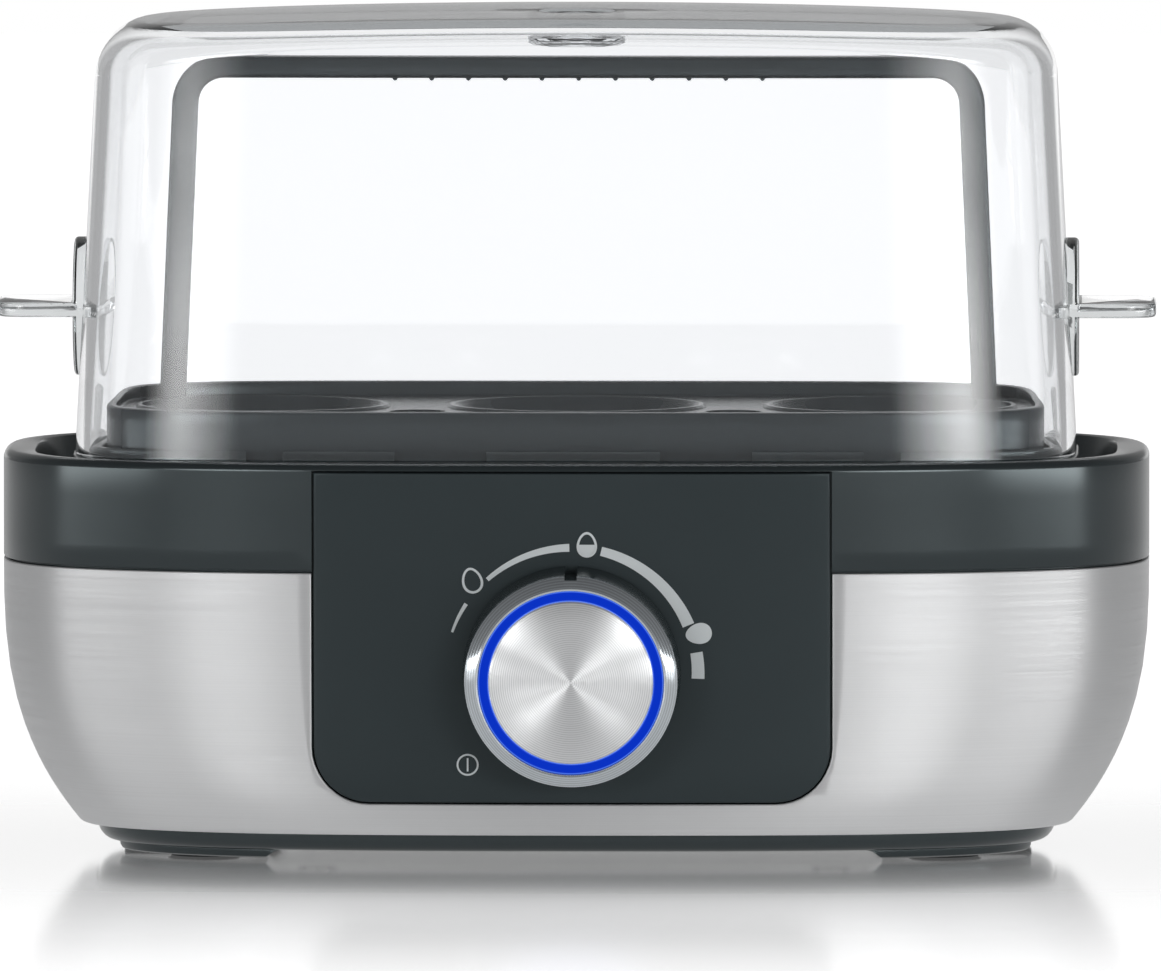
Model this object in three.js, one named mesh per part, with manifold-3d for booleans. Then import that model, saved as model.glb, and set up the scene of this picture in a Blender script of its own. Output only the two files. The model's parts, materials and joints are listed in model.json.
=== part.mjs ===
// Egg boiler with three seats: a long steel-wrapped body with a heated bowl, a lift-out egg tray with a
// carrying arch, a clear cover and one lit control knob.
// Lengths are in millimetres. +X runs along the body, the control side faces -Y and +Z is up.
import * as THREE from "three";
import { mergeVertices } from "three/addons/utils/BufferGeometryUtils.js";
import Module from "manifold-3d";

const wasm = await Module();
wasm.setup();

// Fits and mesh quality
const fitGap = 0.3;
const overrun = 5;
const weldDistance = 0.0001;
const loftSides = 32;
const knobSides = 24;
const cupSides = 16;
const smallSides = 8;
const hexSides = 6;
const arcSteps = 6;
const gripOvalSteps = 8;

// Body outline, drawn in towards its foot
const bodyLength = 188;
const bodyDepth = 102;
const bodySquareness = 3;
const rimTopZ = 66;
const seamZ = 48.4;
const seamGap = 0.4;
const jacketBottomZ = 4.8;
const endTuck = 12.7;
const endTuckPower = 2.9;
const frontLean = THREE.MathUtils.degToRad(5.5);
const frontTuck = 3;
const frontTuckHeight = 12;
const frontTuckPower = 3;
const jacketLevelShares = [0, 0.05, 0.11, 0.18, 0.27, 0.38, 0.52, 0.7, 1];
const skirtLevelShares = [0.05, 0.11, 0.2, 0.5];
const panelLevelShares = [0, 0.09, 0.18, 0.27, 1];

// Upper housing: rim, moat, collar for the cover and the inner skirt
const jacketThickness = 0.8;
const hemReach = 1.6;
const skirtWall = 2.4;
const rimWidth = 5.4;
const rimRound = 1.4;
const rimInnerRound = 0.6;
const rimRoundSteps = 2;
const moatEndWidth = 6.5;
const moatSideWidth = 9.6;
const moatSquareness = 3.7;
const moatFloorZ = 60;
const moatDraft = 0.3;
const deckWall = 2.2;
const ledgeZ = 62.6;
const ledgeWidth = 3.6;
const lipWall = 1.4;
const lipHeight = 1.6;
const outerNotchX = 50.4;
const outerNotchWidth = 6;
const innerNotchX = 21.7;
const innerNotchWidth = 15;
const lipNotches = [
  { x: outerNotchX, width: outerNotchWidth },
  { x: innerNotchX, width: innerNotchWidth },
];

// Clear cover
const coverLength = bodyLength - 2 * (rimWidth + moatEndWidth);
const coverDepth = bodyDepth - 2 * (rimWidth + moatSideWidth);
const coverSquareness = 5;
const coverSeatZ = 65.4;
const coverTopZ = 137.5;
const coverWall = 2;
const coverDraft = THREE.MathUtils.degToRad(3);
const coverCrown = 2;
const coverEndRound = 8.5;
const coverSideRound = 4.5;
const coverRoundSteps = 4;
const coverCrownShares = [0.75, 0.35];
const ventRadius = 6;
const ventDepth = 3.9;
const ventFloorShare = 0.65;
const ventHoleRadius = 1.8;
const gripZ = 88.9;
const gripPlateHeight = 22.8;
const gripPlateWidth = 25;
const gripPlateProud = 1.6;
const gripPlateBevel = 0.7;
const gripTabLength = 13;
const gripTabWidth = 25;
const gripTabThickness = 2.4;
const gripTabCorner = 5;

// Control panel
const panelWidth = 84.2;
const panelBottomZ = 10.4;
const panelCorner = 9;
const panelThickness = 1.8;
const panelCornerSteps = 5;

// Knob and what it turns, measured out from the panel's face
const knobZ = 31.8;
const knobBaseRadius = 17.8;
const knobFrontRadius = 17.4;
const knobDepth = 10;
const knobClearance = 0.5;
const sleeveWall = 0.5;
const sleeveFaceInnerRadius = 15.1;
const sleeveBevelDepth = 1.4;
const lightRingRadius = 14.8;
const lightRingWidth = 1.1;
const lightRingDepth = 2;
const lightRingSetBack = 0.4;
const knobCapRadius = 13.4;
const knobCapThickness = 1.3;
const knobCapBevel = 0.3;
const knobWeb = 1.5;
const knobWall = 1.5;
const hubWall = 2.4;
const pointerWidth = 2;
const shaftRadius = 3;
const shaftFlat = 0.6;
const shaftInsertion = 4.4;
const bushingWall = 1.2;
const bushingReach = 3.4;
const nutThickness = 2;
const nutAcrossCorners = 13;
const potentiometerSize = 17;
const potentiometerDepth = 7;

// Control board and what stands on it
const boardWidth = 58;
const boardHeight = 29;
const boardThickness = 1.6;
const boardHoleInset = 4;
const boardPostRadius = 2.6;
const boardScrewRadius = 1.3;
const boardScrewHeadRadius = 2.5;
const boardScrewHeadHeight = 1.6;
const screwHeadTopShare = 0.7;
const ledRadius = 1.5;
const ledCircleRadius = 12.8;
const ledCount = 4;
const ledSetBack = 0.4;
const buzzerRadius = 5.5;
const buzzerHeight = 6;
const relaySize = [18, 10, 12];
const relayEdgeGap = 8.4;
const relayY = 5.8;
const capacitorSize = [12, 6, 10];
const capacitorGap = 3.9;
const capacitorY = -7.2;

// Base shell, feet and screws
const baseBottomZ = 1.8;
const baseFloor = 2.7;
const baseWall = 2;
const baseRimZ = 11;
const baseSplay = 3;
const baseRoundShare = 0.25;
const footEndInset = 33.3;
const footSideInset = 31.5;
const footX = bodyLength / 2 - footEndInset;
const footY = bodyDepth / 2 - footSideInset;
const footRadius = 5.65;
const footBlockReach = 10.4;
const footBlockSlope = 3.8;
const footBlockWall = 1.5;
const footBlockBottomZ = 0.4;
const footBlockRound = 0.4;
const footPadThickness = 1.2;
const footPadRound = 0.3;
const footPlugRadius = 2;
const footPlugHeight = 1.6;
const baseScrewX = 42;
const baseScrewY = 26;
const baseScrewHeadRadius = 2.8;
const baseScrewHeadHeight = 1.6;
const baseScrewRadius = 1.5;
const baseScrewLength = 12;
const postRadius = 3.4;
const postTopZ = 30;
const postRibWidth = 2;

// Heated bowl and what hangs under it
const bowlThickness = 0.6;
const bowlFloorZ = 51;
const bowlMouthGap = 1;
const bowlDraft = 4;
const bowlRound = 3;
const sealThickness = 0.8;
const spreaderHalfLength = 46;
const spreaderHalfDepth = 19;
const spreaderThickness = 2;
const spreaderSquareness = 2.6;
const elementRadius = 15;
const elementTubeRadius = 2.6;
const elementSweepShare = 0.86;
const elementTailLength = 7;
const elementSteps = 16;
const elementSectionSteps = 4;
const studRadius = 2;
const studThreadSpare = 1.5;
const clampLength = 40;
const clampWidth = 9;
const clampThickness = 1.4;
const clampNutAcrossCorners = 8;
const clampNutThickness = 3;
const sensorX = 33;
const sensorRadius = 5;
const sensorHeight = 5;
const sensorFlange = 1.4;
const bracketLength = 20;
const bracketWidth = 7;
const bracketThickness = 1;
const fuseX = -32;
const fuseRadius = 2;
const fuseLength = 11;
const fuseClipWidth = 5;
const fuseClipThickness = 0.8;
const fuseClipFoot = 4;

// Egg tray
const trayPlay = 1;
const trayWall = 1.6;
const trayFloor = 1.5;
const trayFloorZ = 72.4;
const trayFrontZ = 73.3;
const trayBackZ = 74.8;
const eggCount = 3;
const cupEndGap = 2.85;
const cupTopRadius = 19.8;
const cupSeatRadius = 14.6;
const cupSeatZ = 66;
const cupWall = 1.4;
const cupLip = 0.5;
const cupSlotWidth = 3;
const cupSlotHeight = 2;
const cupSlotCount = 4;
const steamHoleRadius = 4.6;
const steamHoleY = -13;

// Carrying arch, which plugs into the tray behind the seats
const archSideInset = 16;
const archY = coverDepth / 2 - archSideInset;
const archDepth = 5;
const archEndInset = 14.5;
const archHalfWidth = coverLength / 2 - archEndInset;
const archTopZ = 129;
const archBarHeight = 3.6;
const archLegWidth = 4.6;
const archCorner = 8.2;
const archInnerCorner = 4.4;
const archLegLean = THREE.MathUtils.degToRad(2.5);
const archBevel = 0.5;
const archPlugDepth = 5.6;
const archRibCount = 11;
const archRibPitch = 6.05;
const archRibWidth = 1.1;
const archRibTipWidth = 0.55;
const archRibHeight = 0.4;
const archCornerSteps = 4;
const socketWall = 1.6;
const socketPlay = 0.5;

// Mains entry
const glandX = -20;
const glandZ = 18;
const glandBore = 3.6;
const glandWall = 1.6;
const glandFlangeWidth = 1.8;
const glandFlangeThickness = 1.2;
const glandLength = 7;
const cordClampX = -20;
const cordClampY = 24;
const cordClampLength = 21;
const cordClampWidth = 6;
const cordClampThickness = 2.6;
const cordClampScrewPitch = 14;
const cordPostRadius = 2.6;
const cordPostHeight = 3.6;
const terminalSize = [22, 12, 9];
const terminalX = -8;
const terminalY = 14;

// Finishes
const finishes = {
  darkPlastic: { color: 0x3a3e41, roughness: 0.38, metalness: 0 },
  panelPlastic: { color: 0x33373a, roughness: 0.5, metalness: 0 },
  clearPlastic: { color: 0xdfe4e6, roughness: 0.06, metalness: 0, transparent: true, opacity: 0.35 },
  brushedSteel: { color: 0xbcbec0, roughness: 0.34, metalness: 1 },
  bowlSteel: { color: 0xaeb1b3, roughness: 0.28, metalness: 1 },
  chrome: { color: 0xd5d7d9, roughness: 0.16, metalness: 1 },
  spunAluminium: { color: 0xd8dadb, roughness: 0.3, metalness: 1 },
  plainAluminium: { color: 0xb4b6b8, roughness: 0.45, metalness: 1 },
  zincSteel: { color: 0x9c9fa1, roughness: 0.4, metalness: 1 },
  litBlue: { color: 0x1238d8, roughness: 0.3, metalness: 0, emissive: 0x0a34e0, emissiveIntensity: 1.5 },
  rubber: { color: 0x1c1d1e, roughness: 0.85, metalness: 0 },
  silicone: { color: 0x8d8f8c, roughness: 0.7, metalness: 0 },
  board: { color: 0x23532f, roughness: 0.6, metalness: 0 },
  component: { color: 0x23262b, roughness: 0.5, metalness: 0 },
  ceramic: { color: 0xe4ded0, roughness: 0.7, metalness: 0 },
};

// Mesh helpers

function signedVolume(positions, corners) {
  const a = new THREE.Vector3();
  const b = new THREE.Vector3();
  const c = new THREE.Vector3();
  let total = 0;
  for (let i = 0; i < corners.length; i += 3) {
    a.fromBufferAttribute(positions, corners[i]);
    b.fromBufferAttribute(positions, corners[i + 1]);
    c.fromBufferAttribute(positions, corners[i + 2]);
    total += a.dot(b.cross(c));
  }
  return total;
}

// Shares the corners of a geometry, drops its flattened triangles and turns its faces outwards.
function weld(geometry) {
  const bare = new THREE.BufferGeometry();
  bare.setAttribute("position", geometry.getAttribute("position"));
  bare.setIndex(geometry.index);
  const welded = mergeVertices(bare, weldDistance);
  const kept = [];
  for (let i = 0; i < welded.index.count; i += 3) {
    const [a, b, c] = [0, 1, 2].map((step) => welded.index.getX(i + step));
    if (a !== b && b !== c && c !== a) kept.push(a, b, c);
  }
  if (signedVolume(welded.getAttribute("position"), kept) < 0) kept.reverse();
  welded.setIndex(kept);
  return welded;
}

function solid(geometry) {
  const welded = weld(geometry);
  return new wasm.Manifold(new wasm.Mesh({
    numProp: 3,
    vertProperties: Float32Array.from(welded.getAttribute("position").array),
    triVerts: Uint32Array.from(welded.index.array),
  }));
}

function geometryOf(body) {
  const mesh = body.getMesh();
  const geometry = new THREE.BufferGeometry();
  geometry.setAttribute("position", new THREE.BufferAttribute(mesh.vertProperties, 3));
  geometry.setIndex(new THREE.BufferAttribute(mesh.triVerts, 1));
  return geometry;
}

const join = (first, ...others) => others.reduce((sum, other) => sum.add(other), first);
const cut = (first, ...others) => others.reduce((rest, other) => rest.subtract(other), first);

function piece(name, body, finish) {
  const geometry = body.isBufferGeometry ? weld(body) : geometryOf(body);
  geometry.computeVertexNormals();
  const mesh = new THREE.Mesh(geometry, new THREE.MeshStandardMaterial(finish));
  mesh.name = name;
  return mesh;
}

// Shape helpers: each stands on the height z

const block = (width, depth, height, x, y, z) =>
  new THREE.BoxGeometry(width, depth, height).translate(x, y, z + height / 2);

const rod = (radius, height, x, y, z, sides = smallSides) =>
  new THREE.CylinderGeometry(radius, radius, height, sides)
    .rotateX(Math.PI / 2)
    .translate(x, y, z + height / 2);

function revolved(profile, sides) {
  const points = profile.map(([radius, height]) => new THREE.Vector2(radius, height));
  return new THREE.LatheGeometry(points, sides).rotateX(Math.PI / 2);
}

function extruded(shape, depth, bevel = 0, curveSegments = arcSteps) {
  return new THREE.ExtrudeGeometry(shape, {
    depth: depth - 2 * bevel,
    bevelEnabled: bevel > 0,
    bevelThickness: bevel,
    bevelSize: bevel,
    bevelOffset: -bevel,
    bevelSegments: 1,
    curveSegments,
  }).translate(0, 0, bevel);
}

// Superellipse rings and the skins lofted through them

const signedPower = (value, power) => Math.sign(value) * Math.abs(value) ** power;

function ring(outline, z) {
  const points = [];
  for (let i = 0; i < loftSides; i += 1) {
    const turn = (2 * Math.PI * i) / loftSides;
    const x = outline.halfX * signedPower(Math.cos(turn), 2 / outline.squareness);
    const y = outline.halfY * signedPower(Math.sin(turn), 2 / outline.squareness);
    points.push(new THREE.Vector3(x, y, z));
  }
  return points;
}

// Rings that go up the outside. A closed skin comes back down the inside to its first ring.
// An open one is capped.
function skin(rings, closed = false) {
  const positions = rings.flat().flatMap((point) => point.toArray());
  const corners = [];
  const spans = closed ? rings.length : rings.length - 1;
  for (let level = 0; level < spans; level += 1) {
    const lower = level * loftSides;
    const upper = ((level + 1) % rings.length) * loftSides;
    for (let i = 0; i < loftSides; i += 1) {
      const j = (i + 1) % loftSides;
      corners.push(lower + i, lower + j, upper + j, lower + i, upper + j, upper + i);
    }
  }
  if (!closed) {
    const last = (rings.length - 1) * loftSides;
    const middle = rings.length * loftSides;
    positions.push(0, 0, rings[0][0].z, 0, 0, rings.at(-1)[0].z);
    for (let i = 0; i < loftSides; i += 1) {
      const j = (i + 1) % loftSides;
      corners.push(j, i, middle, last + i, last + j, middle + 1);
    }
  }
  const geometry = new THREE.BufferGeometry();
  geometry.setAttribute("position", new THREE.Float32BufferAttribute(positions, 3));
  geometry.setIndex(corners);
  return geometry;
}

// Outlines that several pieces share

const jacketLevels = (shares) => shares.map((share) => THREE.MathUtils.lerp(jacketBottomZ, seamZ, share));

function bodyOutline(z, inset) {
  const fall = Math.max(0, seamZ - z) / (seamZ - jacketBottomZ);
  const tuck = Math.max(0, jacketBottomZ + frontTuckHeight - z) / frontTuckHeight;
  const leaned = Math.tan(frontLean) * (rimTopZ - z);
  return {
    halfX: bodyLength / 2 - endTuck * fall ** endTuckPower - inset,
    halfY: bodyDepth / 2 - leaned - frontTuck * tuck ** frontTuckPower - inset,
    squareness: bodySquareness,
  };
}

const bodyRing = (z, inset) => ring(bodyOutline(z, inset), z);

const coverOutline = (inset) => ({
  halfX: coverLength / 2 - inset,
  halfY: coverDepth / 2 - inset,
  squareness: coverSquareness,
});

const coverRing = (z, inset) => ring(coverOutline(inset), z);

const moatOutline = (inset) => ({
  halfX: bodyLength / 2 - rimWidth - inset,
  halfY: bodyDepth / 2 - rimWidth - inset,
  squareness: moatSquareness,
});

// A solid of the body's own form, drawn in by an inset
function bodyCore(inset, shares = jacketLevelShares) {
  const levels = [...jacketLevels(shares), rimTopZ];
  return solid(skin(levels.map((z) => bodyRing(z, inset))));
}

const coverCore = (inset, lowZ, highZ) => solid(skin([coverRing(lowZ, inset), coverRing(highZ, inset)]));

const skirtInset = jacketThickness + fitGap;
const skirtInnerInset = skirtInset + skirtWall;
const lipInset = coverWall + fitGap;
const ledgeInset = lipInset + lipWall;
const ledgeInnerInset = ledgeInset + ledgeWidth;
const bowlFlangeZ = ledgeZ + sealThickness + 2 * fitGap;
const trayInset = ledgeInset + trayPlay;
const trayBottomZ = bowlFlangeZ + bowlThickness + fitGap;
const panelTopZ = rimTopZ - rimRound;
const bushingRadius = shaftRadius + fitGap + bushingWall;
const bushingHole = bushingRadius + fitGap;
const potentiometerFace = -(skirtInnerInset + fitGap);
const boardFace = potentiometerFace - potentiometerDepth - fitGap;
const boardBack = boardFace - boardThickness;
const boardPostPitch = boardWidth - 2 * boardHoleInset;

// Puts a group on the leaning front (side -1) or back (side 1) of the body, with its +Z pointing out.
function onWall(side, x, z) {
  const group = new THREE.Group();
  const halfY = bodyDepth / 2 - Math.tan(frontLean) * (rimTopZ - z);
  group.position.set(x, side * halfY, z);
  group.rotation.x = -side * (Math.PI / 2 + frontLean);
  group.updateMatrixWorld();
  return group;
}

const controls = onWall(-1, 0, knobZ);
const mainsEntry = onWall(1, glandX, glandZ);
const placedOn = (group, geometry) => solid(geometry.applyMatrix4(group.matrixWorld));

// Upper housing

function panelPrism(grow) {
  const half = panelWidth / 2 + grow;
  const low = panelBottomZ - grow;
  const high = panelTopZ + grow;
  const corner = panelCorner + grow;
  const outline = new THREE.Shape()
    .moveTo(half, high)
    .lineTo(-half, high)
    .lineTo(-half, low + corner)
    .absarc(-half + corner, low + corner, corner, Math.PI, 1.5 * Math.PI)
    .absarc(half - corner, low + corner, corner, 1.5 * Math.PI, 2 * Math.PI);
  return solid(extruded(outline, bodyDepth, 0, panelCornerSteps).rotateX(Math.PI / 2));
}

function rimRings() {
  const outer = [];
  for (let step = 0; step <= rimRoundSteps; step += 1) {
    const turn = (Math.PI / 2) * (step / rimRoundSteps);
    const z = rimTopZ - rimRound * (1 - Math.sin(turn));
    outer.push(bodyRing(z, rimRound * (1 - Math.cos(turn))));
  }
  return [
    ...outer,
    ring(moatOutline(-rimInnerRound), rimTopZ),
    ring(moatOutline(0), rimTopZ - rimInnerRound),
    ring(moatOutline(moatDraft), moatFloorZ),
  ];
}

function collarRings() {
  const lipTopZ = coverSeatZ + lipHeight;
  return [
    coverRing(moatFloorZ, -fitGap),
    coverRing(coverSeatZ, -fitGap),
    coverRing(coverSeatZ, lipInset),
    coverRing(lipTopZ, lipInset),
    coverRing(lipTopZ, ledgeInset),
    coverRing(ledgeZ, ledgeInset),
    coverRing(ledgeZ, ledgeInnerInset),
    coverRing(ledgeZ - deckWall, ledgeInnerInset),
    coverRing(ledgeZ - deckWall, ledgeInset),
  ];
}

function screwPosts() {
  const posts = [];
  for (const x of [-baseScrewX, baseScrewX]) {
    for (const side of [-1, 1]) {
      const y = side * baseScrewY;
      const ribLength = bodyDepth / 2 - baseScrewY;
      const standZ = baseBottomZ + baseFloor + fitGap;
      const post = solid(rod(postRadius, postTopZ - standZ, x, y, standZ));
      const ribFootZ = baseRimZ + fitGap;
      const ribY = y + (side * ribLength) / 2;
      const rib = solid(block(postRibWidth, ribLength, postTopZ - ribFootZ, x, ribY, ribFootZ));
      posts.push({ body: join(post, rib), x, y });
    }
  }
  return posts;
}

function boardPosts() {
  const lowZ = boardFace + fitGap;
  return [-1, 1].map((side) => rod(boardPostRadius, -lowZ, (side * boardPostPitch) / 2, 0, lowZ));
}

const boardScrewHole = (side) => rod(boardScrewRadius, overrun - boardFace - skirtInnerInset,
  (side * boardPostPitch) / 2, 0, boardFace - overrun);

function ledPlaces() {
  const places = [];
  for (let i = 0; i < ledCount; i += 1) {
    const turn = (2 * Math.PI * i) / ledCount;
    places.push([ledCircleRadius * Math.cos(turn), ledCircleRadius * Math.sin(turn)]);
  }
  return places;
}

function lipNotchCutters() {
  return lipNotches.flatMap(({ x, width }) => [-1, 1].map((side) => solid(
    block(width, coverDepth, lipHeight + overrun, side * x, 0, coverSeatZ))));
}

// The hole for the bushing and the windows for the lamps, through whatever lies behind the knob
function controlHoles() {
  const depth = skirtInnerInset + overrun;
  const bushing = rod(bushingHole, depth, 0, 0, -depth + overrun / 2);
  const lamps = ledPlaces().map(([x, y]) => rod(ledRadius + fitGap, depth, x, y, -depth + overrun / 2));
  return [bushing, ...lamps].map((geometry) => placedOn(controls, geometry));
}

function glandHole() {
  const reach = skirtInnerInset + overrun;
  return placedOn(mainsEntry, rod(glandBore + glandWall + fitGap, reach, 0, 0, -reach + overrun / 2));
}

function upperHousing() {
  const skirtLevels = jacketLevels(skirtLevelShares);
  const underZ = moatFloorZ - deckWall;
  const shell = solid(skin([
    ...skirtLevels.map((z) => bodyRing(z, skirtInset)),
    bodyRing(seamZ, skirtInset),
    bodyRing(seamZ, 0),
    ...rimRings(),
    ...collarRings(),
    coverRing(underZ, ledgeInset),
    bodyRing(underZ, skirtInnerInset),
    ...skirtLevels.toReversed().map((z) => bodyRing(z, skirtInnerInset)),
  ], true));
  const recess = cut(panelPrism(fitGap), bodyCore(panelThickness + fitGap, panelLevelShares));
  const posts = screwPosts();
  const inside = bodyCore(skirtInset + skirtWall / 2, panelLevelShares);
  const screwHoles = posts.map(({ x, y }) => solid(
    rod(baseScrewRadius, baseScrewLength + overrun, x, y, baseBottomZ)));
  return cut(
    join(
      cut(shell, recess),
      ...posts.map(({ body }) => body.intersect(inside)),
      ...boardPosts().map((geometry) => placedOn(controls, geometry).intersect(inside)),
    ),
    ...screwHoles,
    ...lipNotchCutters(),
    ...[-1, 1].map((side) => placedOn(controls, boardScrewHole(side))),
    ...controlHoles(),
    glandHole(),
  );
}

function controlPanel() {
  const face = bodyCore(0, panelLevelShares).intersect(panelPrism(0));
  const sheet = cut(face, bodyCore(panelThickness, panelLevelShares));
  return cut(sheet, ...controlHoles());
}

// Steel jacket with a hem turned in at its foot

function steelJacket() {
  const topZ = seamZ - seamGap;
  const outer = jacketLevels(jacketLevelShares.slice(0, -1)).map((z) => bodyRing(z, 0));
  const inner = jacketLevels(skirtLevelShares).toReversed().map((z) => bodyRing(z, jacketThickness));
  const hem = bodyOutline(jacketBottomZ, jacketThickness + hemReach);
  const wrap = solid(skin([
    ...outer,
    bodyRing(topZ, 0),
    bodyRing(topZ, jacketThickness),
    ...inner,
    bodyRing(jacketBottomZ + jacketThickness, jacketThickness),
    ring(hem, jacketBottomZ + jacketThickness),
    ring(hem, jacketBottomZ),
  ], true));
  return cut(wrap, panelPrism(fitGap), glandHole());
}

// Base shell on four foot blocks

const baseOutline = (inset) => bodyOutline(jacketBottomZ, jacketThickness + hemReach + fitGap + inset);

// A foot follows the base's outline and ends in a slope towards the middle.
function footBlock(sideX, sideY) {
  const topZ = baseBottomZ + baseFloor / 2;
  const innerX = footX - footBlockReach;
  const innerY = footY - footRadius - fitGap - footBlockWall;
  const outline = new THREE.Shape()
    .moveTo(innerX, footBlockBottomZ)
    .lineTo(bodyLength / 2, footBlockBottomZ)
    .lineTo(bodyLength / 2, topZ)
    .lineTo(innerX - footBlockSlope, topZ);
  const wedge = extruded(outline, bodyDepth / 2)
    .rotateX(Math.PI / 2)
    .translate(0, -innerY, 0)
    .scale(sideX, -sideY, 1);
  const core = solid(skin([
    ring(baseOutline(baseSplay + footBlockRound), footBlockBottomZ),
    ring(baseOutline(baseSplay), footBlockBottomZ + footBlockRound),
    ring(baseOutline(baseSplay), topZ),
  ]));
  return solid(wedge).intersect(core);
}

const cornerSigns = [[-1, -1], [1, -1], [1, 1], [-1, 1]];

function baseShell() {
  const wallInset = skirtInnerInset + fitGap;
  const wallLevels = [
    jacketBottomZ + jacketThickness + fitGap,
    ...jacketLevels(skirtLevelShares).filter((z) => z < baseRimZ),
    baseRimZ,
  ];
  const floorTopZ = baseBottomZ + baseFloor;
  const dish = solid(skin([
    ring(baseOutline(baseSplay), baseBottomZ),
    ring(baseOutline(baseSplay / 2), THREE.MathUtils.lerp(baseBottomZ, jacketBottomZ, baseRoundShare)),
    ring(baseOutline(0), jacketBottomZ),
    ...wallLevels.map((z) => bodyRing(z, wallInset)),
    ...wallLevels.toReversed().map((z) => bodyRing(z, wallInset + baseWall)),
    ring(baseOutline(baseWall), floorTopZ),
  ]));
  const feet = cornerSigns.map(([sx, sy]) => footBlock(sx, sy));
  const plugHoles = cornerSigns.flatMap(([sx, sy]) => [
    solid(rod(footRadius + fitGap, footPadThickness + fitGap + overrun, sx * footX, sy * footY, -overrun)),
    solid(rod(footPlugRadius + fitGap, footPlugHeight + 2 * fitGap, sx * footX, sy * footY,
      footPadThickness)),
  ]);
  const screwHoles = cornerSigns.flatMap(([sx, sy]) => [
    solid(rod(baseScrewRadius + fitGap, overrun * 2, sx * baseScrewX, sy * baseScrewY, baseBottomZ - fitGap)),
    solid(rod(baseScrewHeadRadius + fitGap, baseScrewHeadHeight + fitGap + overrun, sx * baseScrewX,
      sy * baseScrewY, baseBottomZ - overrun)),
  ]);
  const cordPosts = [-1, 1].map((side) => solid(rod(cordPostRadius, cordPostHeight + baseFloor / 2,
    cordClampX + (side * cordClampScrewPitch) / 2, cordClampY, floorTopZ - baseFloor / 2)));
  const cordHoles = [-1, 1].map((side) => solid(rod(boardScrewRadius + fitGap, cordPostHeight + overrun,
    cordClampX + (side * cordClampScrewPitch) / 2, cordClampY, floorTopZ)));
  return cut(join(dish, ...feet, ...cordPosts), ...plugHoles, ...screwHoles, ...cordHoles);
}

function footPad(sideX, sideY) {
  const plugTop = footPadThickness + footPlugHeight;
  const profile = [
    [0, 0],
    [footRadius - footPadRound, 0],
    [footRadius, footPadRound],
    [footRadius, footPadThickness],
    [footPlugRadius, footPadThickness],
    [footPlugRadius, plugTop],
    [0, plugTop],
  ];
  return revolved(profile, smallSides).translate(sideX * footX, sideY * footY, 0);
}

// A pan-head screw whose head lies below z, with its shank going up
function screwUp(headRadius, headHeight, shankRadius, length) {
  return revolved([
    [0, -headHeight],
    [headRadius * screwHeadTopShare, -headHeight],
    [headRadius, -headHeight / 2],
    [headRadius, 0],
    [shankRadius, 0],
    [shankRadius, length],
    [0, length],
  ], smallSides);
}

function baseScrew(sideX, sideY) {
  const seatZ = baseBottomZ + baseScrewHeadHeight;
  return screwUp(baseScrewHeadRadius, baseScrewHeadHeight, baseScrewRadius - fitGap, baseScrewLength)
    .translate(sideX * baseScrewX, sideY * baseScrewY, seatZ);
}

// Heated bowl, its seal and the heater under it

const bowlMouthInset = ledgeInnerInset + bowlMouthGap;

function heatingBowl() {
  const floorInset = bowlMouthInset + bowlDraft;
  const underZ = bowlFloorZ - bowlThickness;
  const rimInset = ledgeInset + fitGap;
  return solid(skin([
    coverRing(underZ, floorInset + bowlRound),
    coverRing(underZ + bowlRound, floorInset),
    coverRing(bowlFlangeZ, bowlMouthInset),
    coverRing(bowlFlangeZ, rimInset),
    coverRing(bowlFlangeZ + bowlThickness, rimInset),
    coverRing(bowlFlangeZ + bowlThickness, bowlMouthInset + bowlThickness),
    coverRing(bowlFloorZ + bowlRound, floorInset + bowlThickness),
    coverRing(bowlFloorZ, floorInset + bowlRound + bowlThickness),
  ]));
}

function bowlSeal() {
  const lowZ = ledgeZ + fitGap;
  const outerInset = ledgeInset + fitGap;
  return skin([
    coverRing(lowZ, outerInset),
    coverRing(lowZ + sealThickness, outerInset),
    coverRing(lowZ + sealThickness, ledgeInnerInset),
    coverRing(lowZ, ledgeInnerInset),
  ], true);
}

const spreaderTopZ = bowlFloorZ - bowlThickness - fitGap;
const spreaderBottomZ = spreaderTopZ - spreaderThickness;
const elementZ = spreaderBottomZ - fitGap - elementTubeRadius;
const clampTopZ = elementZ - elementTubeRadius - fitGap;
const clampBottomZ = clampTopZ - clampThickness;
const clampNutTopZ = clampBottomZ - fitGap;

function heatSpreader() {
  const outline = { halfX: spreaderHalfLength, halfY: spreaderHalfDepth, squareness: spreaderSquareness };
  const plate = solid(skin([ring(outline, spreaderBottomZ), ring(outline, spreaderTopZ)]));
  const studBottomZ = clampNutTopZ - clampNutThickness - studThreadSpare;
  const studTopZ = spreaderTopZ - spreaderThickness / 2;
  return join(plate, solid(rod(studRadius, studTopZ - studBottomZ, 0, 0, studBottomZ)));
}

class ElementPath extends THREE.Curve {
  getPoint(share, target = new THREE.Vector3()) {
    const sweep = 2 * Math.PI * elementSweepShare;
    const turn = Math.PI / 2 + (2 * Math.PI - sweep) / 2 + share * sweep;
    return target.set(elementRadius * Math.cos(turn), elementRadius * Math.sin(turn), elementZ);
  }
}

function heatingElement() {
  const section = new THREE.Shape().absarc(0, 0, elementTubeRadius, 0, 2 * Math.PI);
  const path = new ElementPath();
  const tube = solid(new THREE.ExtrudeGeometry(section, {
    steps: elementSteps,
    curveSegments: elementSectionSteps,
    extrudePath: path,
  }));
  const tails = [0, 1].map((share) => {
    const end = path.getPoint(share);
    return solid(rod(elementTubeRadius, elementTailLength, end.x, end.y, elementZ - elementTailLength));
  });
  return join(tube, ...tails);
}

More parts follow.
